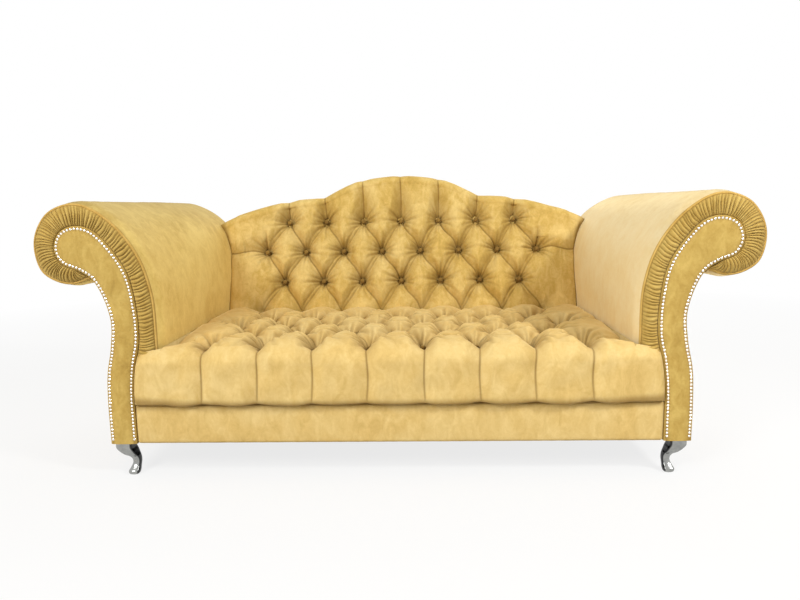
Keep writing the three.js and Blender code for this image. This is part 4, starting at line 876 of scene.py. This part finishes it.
def makeBack(spec):
    rise = lambda z: (z - sofa["frameTop"]) * math.hypot(1, sofa["leanSlope"])
    edge = sofa["halfSeat"] - spec["endRun"]
    inner = np.linspace(-edge, edge, int(2 * edge / spec["acrossStep"]) + 1)
    outer = edge + np.linspace(0, 1, spec["endSteps"] + 1)[1:] * spec["endRun"]
    end = crestEnd() + 6
    turn = np.linspace(0, math.pi / 2, spec["rollSteps"] + 1)[1:]
    cover = np.linspace(0, 1, spec["capSteps"] + 1)[1:]
    radius, rear = spec["rollRadius"], sofa["rearPanelY"] - clearance
    xs, bases, places, us = [], [], [], np.concatenate([-outer[::-1], inner, outer])
    for u in us:
        out = max((abs(u) - edge) / spec["endRun"], 0)
        top = sofa["armTop"]
        for _ in range(12):
            top = float(crestZ(edge + (end - edge) * out if out else backX(abs(u), top)))
        z = np.linspace(sofa["padZ"] + spec["foot"], top - radius, spec["faceSteps"])
        face = np.stack([backFrontY(z), z], axis=1)
        roll = face[-1] + radius * np.stack([1 - np.cos(turn), np.sin(turn)], axis=1)
        cap = np.stack([roll[-1, 0] + cover * (rear - roll[-1, 0]), top - spec["capDrop"] * cover**2], axis=1)
        base = np.vstack([face, roll, cap])
        x = backX(abs(u), base[:, 1])
        if out:
            reach = np.maximum(lineX(rearSurface, base[:, 1]), sofa["armFace"]) + 4
            x = edge + (np.minimum(reach, end) - edge) * out
        xs.append(np.sign(u) * x)
        bases.append(base)
        places.append(rise(base[0, 1]) + lengths(base))
    xs, base, place = np.array(xs), np.array(bases), np.array(places)
    u = np.broadcast_to(us[:, None], xs.shape)
    z = base[:, :, 1]
    normal = outwardOf(base)
    rows = [(rise(height), wide, depth) for height, wide, depth in spec["rows"]]
    creases = lattice(rows, spec["tuftDepth"])
    for x in columns(False):
        # pleats from the top buttons over the crest, leaning a little outwards
        lean, deep = spec["pleats"][round(abs(x) / sofa["pitch"])]
        depths = spec["crestPleat"] + tuple(deep * share + more for share, more in spec["crestTail"])
        end = (x * lean, rise(float(crestZ(x))) + spec["crestPleatOver"])
        looks = (depths, spec["crestPleatReach"], spec["crestCurl"], spec["crestTint"])
        creases.append(pleat((x, rows[0][0]), end, *looks))
    for side in (-1, 1):
        for column, row, endX, climb, depths, reach, curl in spec["sidePleats"]:
            start = rows[row][0]
            creases.append(pleat((side * column, start), (side * endX, start + climb), depths, reach, curl * side))
    for x in columns(True):
        end = (x, rows[3][0] - spec["jointPleatRun"])
        creases.append(pleat((x, rows[3][0]), end, spec["jointPleat"], spec["jointPleatReach"]))
    buttons = [(x, w) for w, wide, _ in rows[:3] for x in columns(wide)]
    depth, detail, fold, near = tuftDepth(u, place, creases, buttons, spec["tuftDepth"], spec["fans"], 23)
    beside = 1 - bulge((sofa["armFace"] + 2 - np.abs(u)) / spec["sideRun"])
    depth = depth + spec["sideDrop"] * beside * (z < spec["sideTop"])
    hills = spec["hills"] * softNoise(u, place, spec["hillSize"], 9)
    depth = depth + hills * (1 - easeIn((z - spec["crestFrom"]) / spec["hillRun"]))
    fade = np.ones(base.shape[1])
    fade[-spec["rearFadeSteps"]:] = np.linspace(1, spec["rearFade"], spec["rearFadeSteps"])
    depth = np.maximum(depth * fade, 0)
    verts = np.concatenate([xs[:, :, None], base - normal * depth[:, :, None]], axis=2)
    atSides = np.clip((np.abs(u) - edge) / spec["sideHeldRun"] + 1, 0, 1)
    held = np.maximum(near, np.maximum(easeIn((z - spec["crestFrom"]) / spec["crestHeldRun"]), atSides))
    heldTo, over = spec["footHeld"]
    verts = verts + puff(verts, np.maximum(held, 1 - easeIn((z - heldTo) / over)))
    verts[:, :, 1:] -= normal * (detail * fade)[:, :, None]
    # a folded rear edge, and the inside against the frame
    edgeLine = verts[:, -1, [0, 2]] - [0, spec["edgeFold"]]
    footLine = verts[:, 0, [0, 2]] * [1, 0] + [0, sofa["padZ"] + spec["foot"]]
    woodY, woodZ = spec["woodFrom"]
    wood = np.minimum(spec["woodMost"], woodY + spec["woodLean"] * (edgeLine[:, 1] - woodZ))
    back = [atDepth(edgeLine, rear), atDepth(edgeLine, wood), atDepth(footLine, spec["woodFoot"])]
    verts = np.concatenate([verts, np.stack(back, axis=1)], axis=1)
    # painted shade where the back's ends meet the arms
    joint = easeIn(((np.abs(u) - edge) / spec["endRun"] - 0.3) / 0.6) * (z < spec["jointTop"])
    fold = np.concatenate([np.maximum(fold, spec["jointShade"] * joint), np.zeros((len(fold), 3))], axis=1)
    faces = slabFaces(verts)
    addPiece("backCover", verts.reshape(-1, 3), faces, shadedBackVelvet, "velvet", ["back_pad"], fill=0.85, fold=fold)


makeBack(backSpec)
print("back: buttoned cover with its crest")


# arms

armSpec = {
    "depthSteps": 92, "innerSteps": 60, "clothRun": 1320.0, "step": 6.9, "ripple": 0.9, "rippleSize": 150.0,
    "pull": 0.9, "pullSize": 26.0, "pullRun": 55.0,
}


def makeArmCovers(spec):
    run = np.linspace(0, 1, spec["depthSteps"])
    depths = sofa["boardY"] + (sofa["rearPanelY"] - clearance - sofa["boardY"]) * (0.35 * run**2.2 + 0.65 * run)
    inner = spread(woodLine, spec["innerSteps"])[::-1]
    share = np.linspace(0, 1, rollSteps + 1)
    rings = []
    for y in depths:
        surface = armSurface(float(y))
        gathers = np.sin(share * len(rollLine) * spec["step"] / spec["pullSize"] * math.pi)
        pulled = spec["pull"] * math.exp(-(y - sofa["boardY"]) / spec["pullRun"]) * gathers
        ripple = spec["ripple"] * softNoise(share * spec["clothRun"], np.full(share.shape, y), spec["rippleSize"], 31)
        ends = easeIn(share / 0.05) * easeIn((1 - share) / 0.05)
        surface = shiftLine(surface, -(np.abs(ripple) * 0.8 + np.maximum(pulled, 0)) * ends)
        rings.append(atDepth(np.vstack([surface, inner]), y))
    finish = (litRightVelvet, shadedLeftVelvet)
    bothSides("armCover", np.vstack(rings), slabFaces(rings), finish, "velvet", "arm_pad", fill=0.9, sharpAt=55)


def edgeDistance(points, outline):
    # how far each point lies from a line
    best = np.full(points.shape[:-1], 1e9)
    for a, b in zip(outline, outline[1:]):
        step = b - a
        t = np.clip(((points - a) @ step) / max(step @ step, 1e-9), 0, 1)
        best = np.minimum(best, np.linalg.norm(points - a - t[..., None] * step, axis=-1))
    return best


def ribbonPanel(a, b, outline, profile, rearY, columns):
    # a panel between two edges that run side by side, its face from the distance to the outline
    across = (1 - np.cos(np.linspace(0, math.pi, columns))) / 2
    grid = a[:, None] * (1 - across[None, :, None]) + b[:, None] * across[None, :, None]
    distance = edgeDistance(grid, outline)
    face = np.interp(distance, *zip(*profile))
    front = np.stack([grid[..., 0], face, grid[..., 1]], axis=-1)
    rear = np.stack([grid[..., 0], np.full(face.shape, rearY), grid[..., 1]], axis=-1)[:, ::-1]
    return list(np.concatenate([front, rear], axis=1))


facingSpec = {
    "tip": 0.535, "rearY": -446.2, "wider": 2.4, "edgeSteps": 300, "across": 30,
    "nailsAt": 8.0, "nailShade": 0.62, "nailShadeWidth": 5.5,
    "profile": [
        (0, -465.5), (0.5, -467.5), (1.5, -469.0), (3, -469.9), (6, -470.4), (14, -471.6), (26, -472.6), (45, -473.2),
    ],
}


def makeFacings(spec):
    # a padded board from the base to the middle of the scroll
    tip = int(spec["tip"] * nailSteps)
    line = shiftLine(facingLine, spec["wider"])
    inner = np.vstack([[[line[0][0], sofa["baseZ"]]], line[:tip]])
    outer = np.vstack([[[line[-1][0], sofa["baseZ"]]], line[:tip:-1]])
    outline = np.vstack([inner, outer[::-1]])
    edges = [spread(edge, spec["edgeSteps"])[:-1] for edge in (inner, outer)]
    rings = ribbonPanel(*edges, outline, spec["profile"], spec["rearY"], spec["across"])
    points = np.vstack(rings)
    # painted shade along the row of nails
    fromNails = edgeDistance(points[:, [0, 2]], outline) - spec["nailsAt"]
    paintedNailShade = spec["nailShade"] * np.exp(-((fromNails / spec["nailShadeWidth"]) ** 2))
    bothSides("facing", points, slabFaces(rings), shadedFrontVelvet, "velvet", "arm_facing", sharpAt=70, fold=paintedNailShade)


bandSpec = {
    "ribs": 104, "steps": 1560, "across": 17, "depth": 7.4, "ribPower": 0.6, "crown": 8.0, "crownPower": 0.62,
    "edgeY": -453.0, "innerY": -463.0, "fine": 0.08, "fineWaves": 2.9, "shade": 0.75,
    "backY": -446.0, "gap": 3.0, "footZ": 247.5, "lean": 0.004, "tilt": 0.007, "uneven": (0.65, 1.15),
    "evenOver": 60, "ripples": [(0.0014, 61, 3), (0.0009, 143, 5)],  # size, waves along the band, shift across it
}


def makeBands(spec):
    # ribs of gathered velvet between the piping and the facing
    outer = shiftLine(pipingPath, -spec["gap"])
    inner = shiftLine(facingLine, spec["gap"])[:facingTurn + 1]
    foot = inner[:, 1] > spec["footZ"]
    start = float(lengths(inner)[np.argmax(foot)] / lengths(inner)[-1])
    share = np.linspace(0, 1, spec["steps"] + 1)
    random = np.random.default_rng(41)
    places = np.cumsum(random.uniform(0.6, 1.4, spec["ribs"] + 1))
    places = (places - places[0]) / (places[-1] - places[0])
    heights = random.uniform(*spec["uneven"], spec["ribs"] + 1)
    outerPoints = along(outer, share)
    insideShare = np.linspace(start, 1, 900)
    marks = along(inner, insideShare)
    nearest = np.array([insideShare[np.argmin(np.hypot(*(marks - p).T))] for p in outerPoints])
    nearest = np.maximum.accumulate(np.maximum(nearest - (nearest[0] - start) * (1 - share) ** 8, start))
    width = spec["evenOver"]
    before, after = 2 * nearest[0] - nearest[width:0:-1], 2 * nearest[-1] - nearest[-2:-width - 2:-1]
    window = np.hanning(2 * width + 1)
    nearest = np.convolve(np.concatenate([before, nearest, after]), window / window.sum(), "valid")
    nearest = (nearest - nearest[0]) / (nearest[-1] - nearest[0])
    nearest = start + nearest * (1 - start)  # ribs run square to the piping
    innerPoints = along(inner, nearest)
    rings, shade = [], []
    for k in range(spec["across"]):
        t = k / (spec["across"] - 1)
        arch = max(math.sin(math.pi * t), 0.0)
        phase = share + spec["lean"] * arch + spec["tilt"] * t
        for size, waves, shift in spec["ripples"]:
            phase = phase + size * np.sin(share * waves + shift * t)
        count = np.interp(phase, places, np.arange(spec["ribs"] + 1))
        rib = np.abs(np.sin(math.pi * count)) ** spec["ribPower"] * np.interp(phase, places, heights)
        fine = spec["fine"] * np.abs(np.sin(spec["fineWaves"] * math.pi * count + 1.1))
        lift = spec["crown"] * arch ** spec["crownPower"] + spec["depth"] * (rib + fine) * (0.30 + 0.70 * arch**0.5)
        y = spec["edgeY"] + (spec["innerY"] - spec["edgeY"]) * t**1.5 - lift
        rings.append(atDepth(outerPoints * (1 - t) + innerPoints * t, y))
        # painted shade in the hollows between the ribs
        shade.append(spec["shade"] * np.clip(1 - rib, 0, 1) ** 1.6)
    ends = [atDepth(line, spec["backY"]) for line in (innerPoints, outerPoints)]
    points = np.stack(rings + ends, axis=1)  # one closed ring across the band at each step
    fold = np.stack(shade + [shade[-1], shade[0]], axis=1)
    faces = slabFaces(points)
    bothSides("gatheredBand", points.reshape(-1, 3), faces, shadedFrontVelvet, "velvet", "gathered_band", fold=fold)


def makePiping(spec):
    # a round cord along the arm's edge, closed at both ends
    radius = spec["pipingRadius"]
    path = atDepth(spread(pipingPath, spec["pipingSteps"]), sofa["boardY"] - clearance - radius)
    ahead = np.gradient(path, axis=0)
    forward = np.array([0.0, 1.0, 0.0])
    sideways = np.cross(ahead / np.linalg.norm(ahead, axis=1)[:, None], forward)
    turn = np.arange(spec["pipingSides"])[None, :, None] * math.tau / spec["pipingSides"]
    rings = path[:, None] + radius * (np.cos(turn) * sideways[:, None] + np.sin(turn) * forward)
    bothSides("piping", rings.reshape(-1, 3), slabFaces(rings), trimVelvet, "velvet", "arm_piping", sharpAt=60)


makeArmCovers(armSpec)
makeFacings(facingSpec)
makeBands(bandSpec)
makePiping(armLines)
print("arms: covers, facings, gathered bands and piping")


# covered outer panels and the front rail

panelSpec = {
    "round": 5.0, "roundRun": 7.0, "swellOut": 2.5, "swellRun": 60.0, "clothRun": 560.0,
    "wavy": 0.5, "waveSize": 130.0, "waveRun": 50.0, "innerY": 488.2,
    "frontEnds": (-445.7, -444.4, -441.5), "middle": (-436, 476, 46), "rearEnds": (482.5, 486.2, 487.6),
    "edgeSteps": 200, "closeSteps": 220, "closeAcross": 26, "outerClimb": 0.45,
    "topDrop": 8.5, "sideSteps": 80, "topSteps": 300, "columns": 260, "columnSteps": 90,
    "rear": [(0, 494.5), (0.6, 497.0), (2.0, 498.9), (4.5, 499.8), (9, 500.1), (40, 501.2), (150, 502.0)],
}


def makePanels(spec):
    # the arm's outer side, a gently padded shell
    line = np.vstack([outerLine, [[outerLine[-1][0], sofa["baseZ"]]]])[:-1]
    inner = shiftLine(line, -armLines["panelThickness"])
    share = lengths(line) / lengths(line)[-1]
    depths = np.concatenate([spec["frontEnds"], np.linspace(*spec["middle"]), spec["rearEnds"]])
    rings = []
    for y in depths:
        edge = min(y - depths[0], depths[-1] - y)
        lift = spec["swellOut"] * float(bulge(edge / spec["swellRun"]))
        lift -= spec["round"] * (1 - float(bulge(edge / spec["roundRun"])))
        shape = shiftLine(line, lift * easeIn(share / 0.04))
        hills = softNoise(share * spec["clothRun"], np.full(share.shape, y), spec["waveSize"], 77)
        shape[:, 0] += spec["wavy"] * hills * easeIn(edge / spec["waveRun"])
        shape[-1, 1] = sofa["baseZ"]
        rings.append(atDepth(np.vstack([shape, inner[::-1]]), y))
    node = "outside_arm_panel"
    bothSides("outsideArmCover", np.vstack(rings), slabFaces(rings), shadedBackVelvet, "velvet", node, sharpAt=60)
    # the panel that closes the arm behind
    edge = shiftLine(spread(rearSurface, spec["edgeSteps"]), -clearance)
    edge = np.vstack([[[edge[0][0], sofa["baseZ"]]], edge])
    outer = outerLine[::-1]
    outline = np.vstack([edge, outer[::-1]])
    share = np.linspace(0, 1, spec["closeSteps"] + 1)[:-1]
    inside, outside = along(edge, share), along(outer, np.minimum(share / spec["outerClimb"], 1) * 0.999)
    rings = ribbonPanel(inside, outside, outline, spec["rear"], spec["innerY"], spec["closeAcross"])
    bothSides("armBackCover", np.vstack(rings), slabFaces(rings), shadedBackVelvet, "velvet", "arm_back_panel", sharpAt=70)
    # the panel behind the back
    half, drop, count = crestEnd(), spec["topDrop"], spec["sideSteps"]
    sideZ = np.linspace(sofa["baseZ"], float(crestZ(half)) - drop, count)
    sideX = np.minimum(np.maximum(lineX(rearSurface, sideZ), 700) - 2 * clearance, half)
    topX = np.linspace(half, -half, spec["topSteps"])
    top = np.stack([topX, crestZ(topX) - drop], axis=1)
    right = np.stack([sideX, sideZ], axis=1)
    outline = np.vstack([right, top, right[::-1] * [-1, 1], right[:1]])
    column = np.linspace(0, 1, spec["columnSteps"])
    rings = []
    for q in np.linspace(-1, 1, spec["columns"]):
        x = q * np.interp(column, np.linspace(0, 1, count), sideX)
        z = sofa["baseZ"] + (crestZ(x[-1]) - drop - sofa["baseZ"]) * column
        grid = np.stack([x, z], axis=1)
        face = np.interp(edgeDistance(grid, outline[::3]), *zip(*spec["rear"]))
        rings.append(np.vstack([atDepth(grid, face), atDepth(grid, spec["innerY"])[::-1]]))
    nodes = ["outside_back_panel"]
    addPiece("outsideBackCover", np.vstack(rings), slabFaces(rings), shadedBackVelvet, "velvet", nodes, sharpAt=70)


railSpec = {
    "halfWidth": 846.0, "across": 330, "up": 34, "round": 7.0, "swell": 2.5, "swellRun": 60.0, "endRound": (3.0, 6.0),
    "wavy": 0.5, "waveSize": 95.0, "waveRun": 30.0, "pull": 0.35, "pullRun": 16.0,
    "topShade": 0.6, "topShadeRun": 15.0, "lowShade": 0.3, "lowShadeRun": 7.0,
}


def makeRailCover(spec):
    # a padded board whose cloth is pulled round its edges
    xs = np.linspace(-spec["halfWidth"], spec["halfWidth"], spec["across"])
    bottom, top, inside = sofa["baseZ"], sofa["frameTop"], sofa["boardY"] - 2 * clearance
    z = np.linspace(bottom, top, spec["up"])
    near = np.minimum(z - bottom, top - z)
    padding = spec["round"] * (bulge(near / spec["round"]) - 1) + spec["swell"] * bulge(near / spec["swellRun"])
    # painted shadow along the top, under the seat's overhang, and painted shade along the bottom
    shade = spec["topShade"] * np.exp(-(((top - z) / spec["topShadeRun"]) ** 2))
    shade += spec["lowShade"] * np.exp(-(((z - bottom) / spec["lowShadeRun"]) ** 2))
    endRound, endRun = spec["endRound"]
    rings = []
    for x in xs:
        end = min(x + spec["halfWidth"], spec["halfWidth"] - x)
        hills = spec["wavy"] * softNoise(x + 0 * z, z, spec["waveSize"], 61) * easeIn(near / spec["waveRun"])
        out = padding - endRound * (1 - float(bulge(end / endRun))) + hills
        pulls = spec["pull"] * np.sin(x / 8.3 + 1.7 * math.sin(x / 37)) * np.exp(-(z - bottom) / spec["pullRun"])
        front = np.stack([np.full(len(z), x), sofa["facingY"] - out + pulls, z], axis=1)
        rings.append(np.vstack([front, [[x, inside, top], [x, inside, bottom]]]))
    fold = np.tile(np.append(shade, [0, 0]), (len(xs), 1))
    looks = {"sharpAt": 60, "fill": 0.9, "fold": fold}
    addPiece("railCover", np.vstack(rings), slabFaces(rings), seatVelvet, "velvet", ["front_rail_cover"], **looks)


makePanels(panelSpec)
makeRailCover(railSpec)
print("panels: arms, backs and the front rail")


# legs

legSpec = {
    "shares": [  # height, sweep inwards, sweep away from the facing, half width
        (1, 0, 0, 0.5), (0.86, 0, 0, 0.5), (0.72, 0.15, 0.04, 0.46), (0.61, 0.32, 0.07, 0.39), (0.53, 0.5, 0.1, 0.29),
        (0.45, 0.58, 0.12, 0.25), (0.36, 0.6, 0.12, 0.24), (0.27, 0.57, 0.07, 0.26), (0.19, 0.53, -0.02, 0.3),
        (0.1, 0.49, -0.12, 0.35), (0.03, 0.49, -0.13, 0.31), (0, 0.5, -0.12, 0.24),
    ],
    "topSize": 52.0, "height": 109.7, "steps": 60, "sides": 48, "x": 901.4, "front": -441.0, "rear": 471.0,
    "squareness": 6.5, "topRound": 1.2, "softening": ([0, 0.4, 0.7, 1], [0.45, 0.7, 1, 1]),
}


def makeLegs(spec):
    shares = smoothLine(spec["shares"], spec["steps"])
    turn = np.arange(spec["sides"]) * math.tau / spec["sides"]
    power = spec["squareness"]
    corner = 1 / (np.abs(np.cos(turn)) ** power + np.abs(np.sin(turn)) ** power) ** (1 / power)
    for end, facing in (("front", -1), ("rear", 1)):
        rings = []
        for k, (height, inwards, away, width) in enumerate(shares):
            reach = width * spec["topSize"] - (spec["topRound"] if k == 0 else 0)
            reach = reach * corner ** float(np.interp(height, *spec["softening"]))
            x = spec["x"] + reach * np.cos(turn) - inwards * spec["topSize"]
            y = spec[end] + reach * np.sin(turn) - facing * away * spec["topSize"]
            rings.append(np.stack([x, y, np.full(len(turn), max(height, 0) * spec["height"])], axis=1))
        bothSides(f"{end}Leg", np.vstack(rings), slabFaces(rings), chrome, "chrome", f"{end}_leg", sharpAt=50)


makeLegs(legSpec)
print("legs: four curved chrome feet")


# nails and buttons, placed by Geometry Nodes

nailSpec = {
    "pitch": 11.2, "radius": 4.6, "height": 3.8, "sides": 10, "uneven": (1.0, 0.02),
    "profile": [(0.86, -0.3), (1.0, -0.02), (0.97, 0.22), (0.84, 0.55), (0.58, 0.83), (0.25, 0.98)],
}
buttonSpec = {
    "radius": 10.5, "height": 7.0, "sides": 20, "sunk": 4.0, "uneven": (1.0, 0.0), "seatPit": 47.5, "backPit": 38.5,
    "profile": [
        (0.3, -1.2), (0.9, -0.9), (1.0, -0.35), (1.0, 0.1), (0.93, 0.42), (0.76, 0.72), (0.5, 0.91), (0.22, 0.99),
    ],
}


def headMesh(name, spec):
    # a small turned head with its axis along Z
    turn = np.arange(spec["sides"]) * math.tau / spec["sides"]
    circle = np.stack([np.cos(turn), np.sin(turn), np.ones(len(turn))], axis=1)
    rings = [circle * [r * spec["radius"], r * spec["radius"], h * spec["height"]] for r, h in spec["profile"]]
    mesh = bpy.data.meshes.new(name)
    mesh.from_pydata((np.vstack(rings) * mm).tolist(), [], slabFaces(rings))
    mesh.polygons.foreach_set("use_smooth", [True] * len(mesh.polygons))
    return bpy.data.objects.new(name, mesh)


def placeHeads(name, places, normals, head, scale, material, nodes):
    # a point cloud whose points each carry one head, turned along its own normal
    mesh = bpy.data.meshes.new(name)
    mesh.from_pydata((np.asarray(places) * mm).tolist(), [], [])
    direction = mesh.attributes.new("direction", "FLOAT_VECTOR", "POINT")
    direction.data.foreach_set("vector", np.asarray(normals, float).ravel())
    piece = bpy.data.objects.new(name, mesh)
    bpy.context.scene.collection.objects.link(piece)
    tree = bpy.data.node_groups.new(name + "Tree", "GeometryNodeTree")
    tree.interface.new_socket("Geometry", in_out="INPUT", socket_type="NodeSocketGeometry")
    inputs = (("Head scale", "Float", float(scale[0])), ("Unevenness", "Float", float(scale[1])),
              ("Head", "Object", head), ("Finish", "Material", material))
    sockets = [
        tree.interface.new_socket(label, in_out="INPUT", socket_type="NodeSocket" + kind) for label, kind, _ in inputs
    ]
    tree.interface.new_socket("Geometry", in_out="OUTPUT", socket_type="NodeSocketGeometry")
    given = addNode(tree, "NodeGroupInput")
    size = {0: given.outputs["Head scale"], 1: given.outputs["Unevenness"]}
    shape = addNode(tree, "GeometryNodeObjectInfo", {"Object": given.outputs["Head"]})
    facing = addNode(tree, "GeometryNodeInputNamedAttribute", {"Name": "direction"}, data_type="FLOAT_VECTOR")
    turned = addNode(tree, "FunctionNodeAlignRotationToVector", {"Vector": facing.outputs["Attribute"]}, axis="Z")
    low = addNode(tree, "ShaderNodeMath", size, operation="SUBTRACT")
    high = addNode(tree, "ShaderNodeMath", size, operation="ADD")
    limits = {2: low.outputs[0], 3: high.outputs[0], "Seed": 7}
    varied = addNode(tree, "FunctionNodeRandomValue", limits, data_type="FLOAT")
    placed = addNode(tree, "GeometryNodeInstanceOnPoints", {
        "Points": given.outputs["Geometry"], "Instance": shape.outputs["Geometry"], "Rotation": turned.outputs[0],
        "Scale": varied.outputs[1],
    })
    real = addNode(tree, "GeometryNodeRealizeInstances", {0: placed.outputs[0]})
    dressed = {"Geometry": real.outputs[0], "Material": given.outputs["Finish"]}
    finished = addNode(tree, "GeometryNodeSetMaterial", dressed)
    addNode(tree, "NodeGroupOutput", {0: finished.outputs[0]})
    modifier = piece.modifiers.new("heads", "NODES")
    modifier.node_group = tree
    for socket, (_, _, value) in zip(sockets, inputs):
        modifier[socket.identifier] = value
    bpy.context.view_layer.update()
    ready = bpy.data.meshes.new_from_object(piece.evaluated_get(bpy.context.evaluated_depsgraph_get()))
    piece.modifiers.clear()
    piece.data = ready
    ready.polygons.foreach_set("use_smooth", [True] * len(ready.polygons))
    declare(piece, nodes)


def makeNails(spec):
    head = headMesh("nailHead", spec)
    line = spread(nailLine, int(round(lengths(nailLine)[-1] / spec["pitch"])))
    line = line[line[:, 1] > sofa["baseZ"] + 5]
    for side, sign in (("right", 1), ("left", -1)):
        places = atDepth(line * [sign, 1], sofa["facingY"] - 0.2)
        out = np.tile([0.0, -1.0, 0.0], (len(line), 1))
        placeHeads(f"nails_{side}", places, out, head, spec["uneven"], nickel, [f"nail_trim_{side}"])


def makeButtons(spec):
    head = headMesh("buttonHead", spec)
    marks = [(x, w) for w, wide, _ in seatSpec["rows"][:-1] for x in columns(wide)]
    places = [(x, w, seatSpec["top"] - spec["seatPit"] - spec["sunk"]) for x, w in marks]
    nodes = [f"seat_button_row_{k}" for k in (1, 2, 3, 4)]
    # the buttons wear the darkest velvet, painted shade for their pits
    placeHeads("seatButtons", places, [(0, 0, 1)] * len(places), head, spec["uneven"], shadedButtonVelvet, nodes)
    lean = math.atan(sofa["leanSlope"])
    out = np.array([0.0, -math.cos(lean), math.sin(lean)])
    depth = backSpec["tuftDepth"] * math.sin(lean)  # the pits lie lower than the columns' marks
    marks = [(x, z) for z, wide, _ in backSpec["rows"][:-1] for x in columns(wide)]
    face = np.array([(float(backX(x, z - depth)), backFrontY(z), z) for x, z in marks])
    places = face - (spec["backPit"] + spec["sunk"]) * out
    nodes = [f"back_button_row_{k}" for k in (1, 2, 3)]
    placeHeads("backButtons", places, [out] * len(places), head, spec["uneven"], shadedButtonVelvet, nodes)


makeNails(nailSpec)
makeButtons(buttonSpec)
print("trim: nails and covered buttons")


# what keeps its CAD shape: the wooden frame, the webbing and the dust cover

for name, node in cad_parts.items():
    finish = None
    if name.startswith("seat_webbing"):
        finish = webbing
    elif name == "dust_cover":
        finish = cambric
    elif any(word in name for word in ("rail", "board", "post", "block", "stretcher")) and "cover" not in name:
        finish = beech
    if finish:
        for materialSlot in node.material_slots:
            materialSlot.material = finish
print("frame: beech, webbing and cambric")
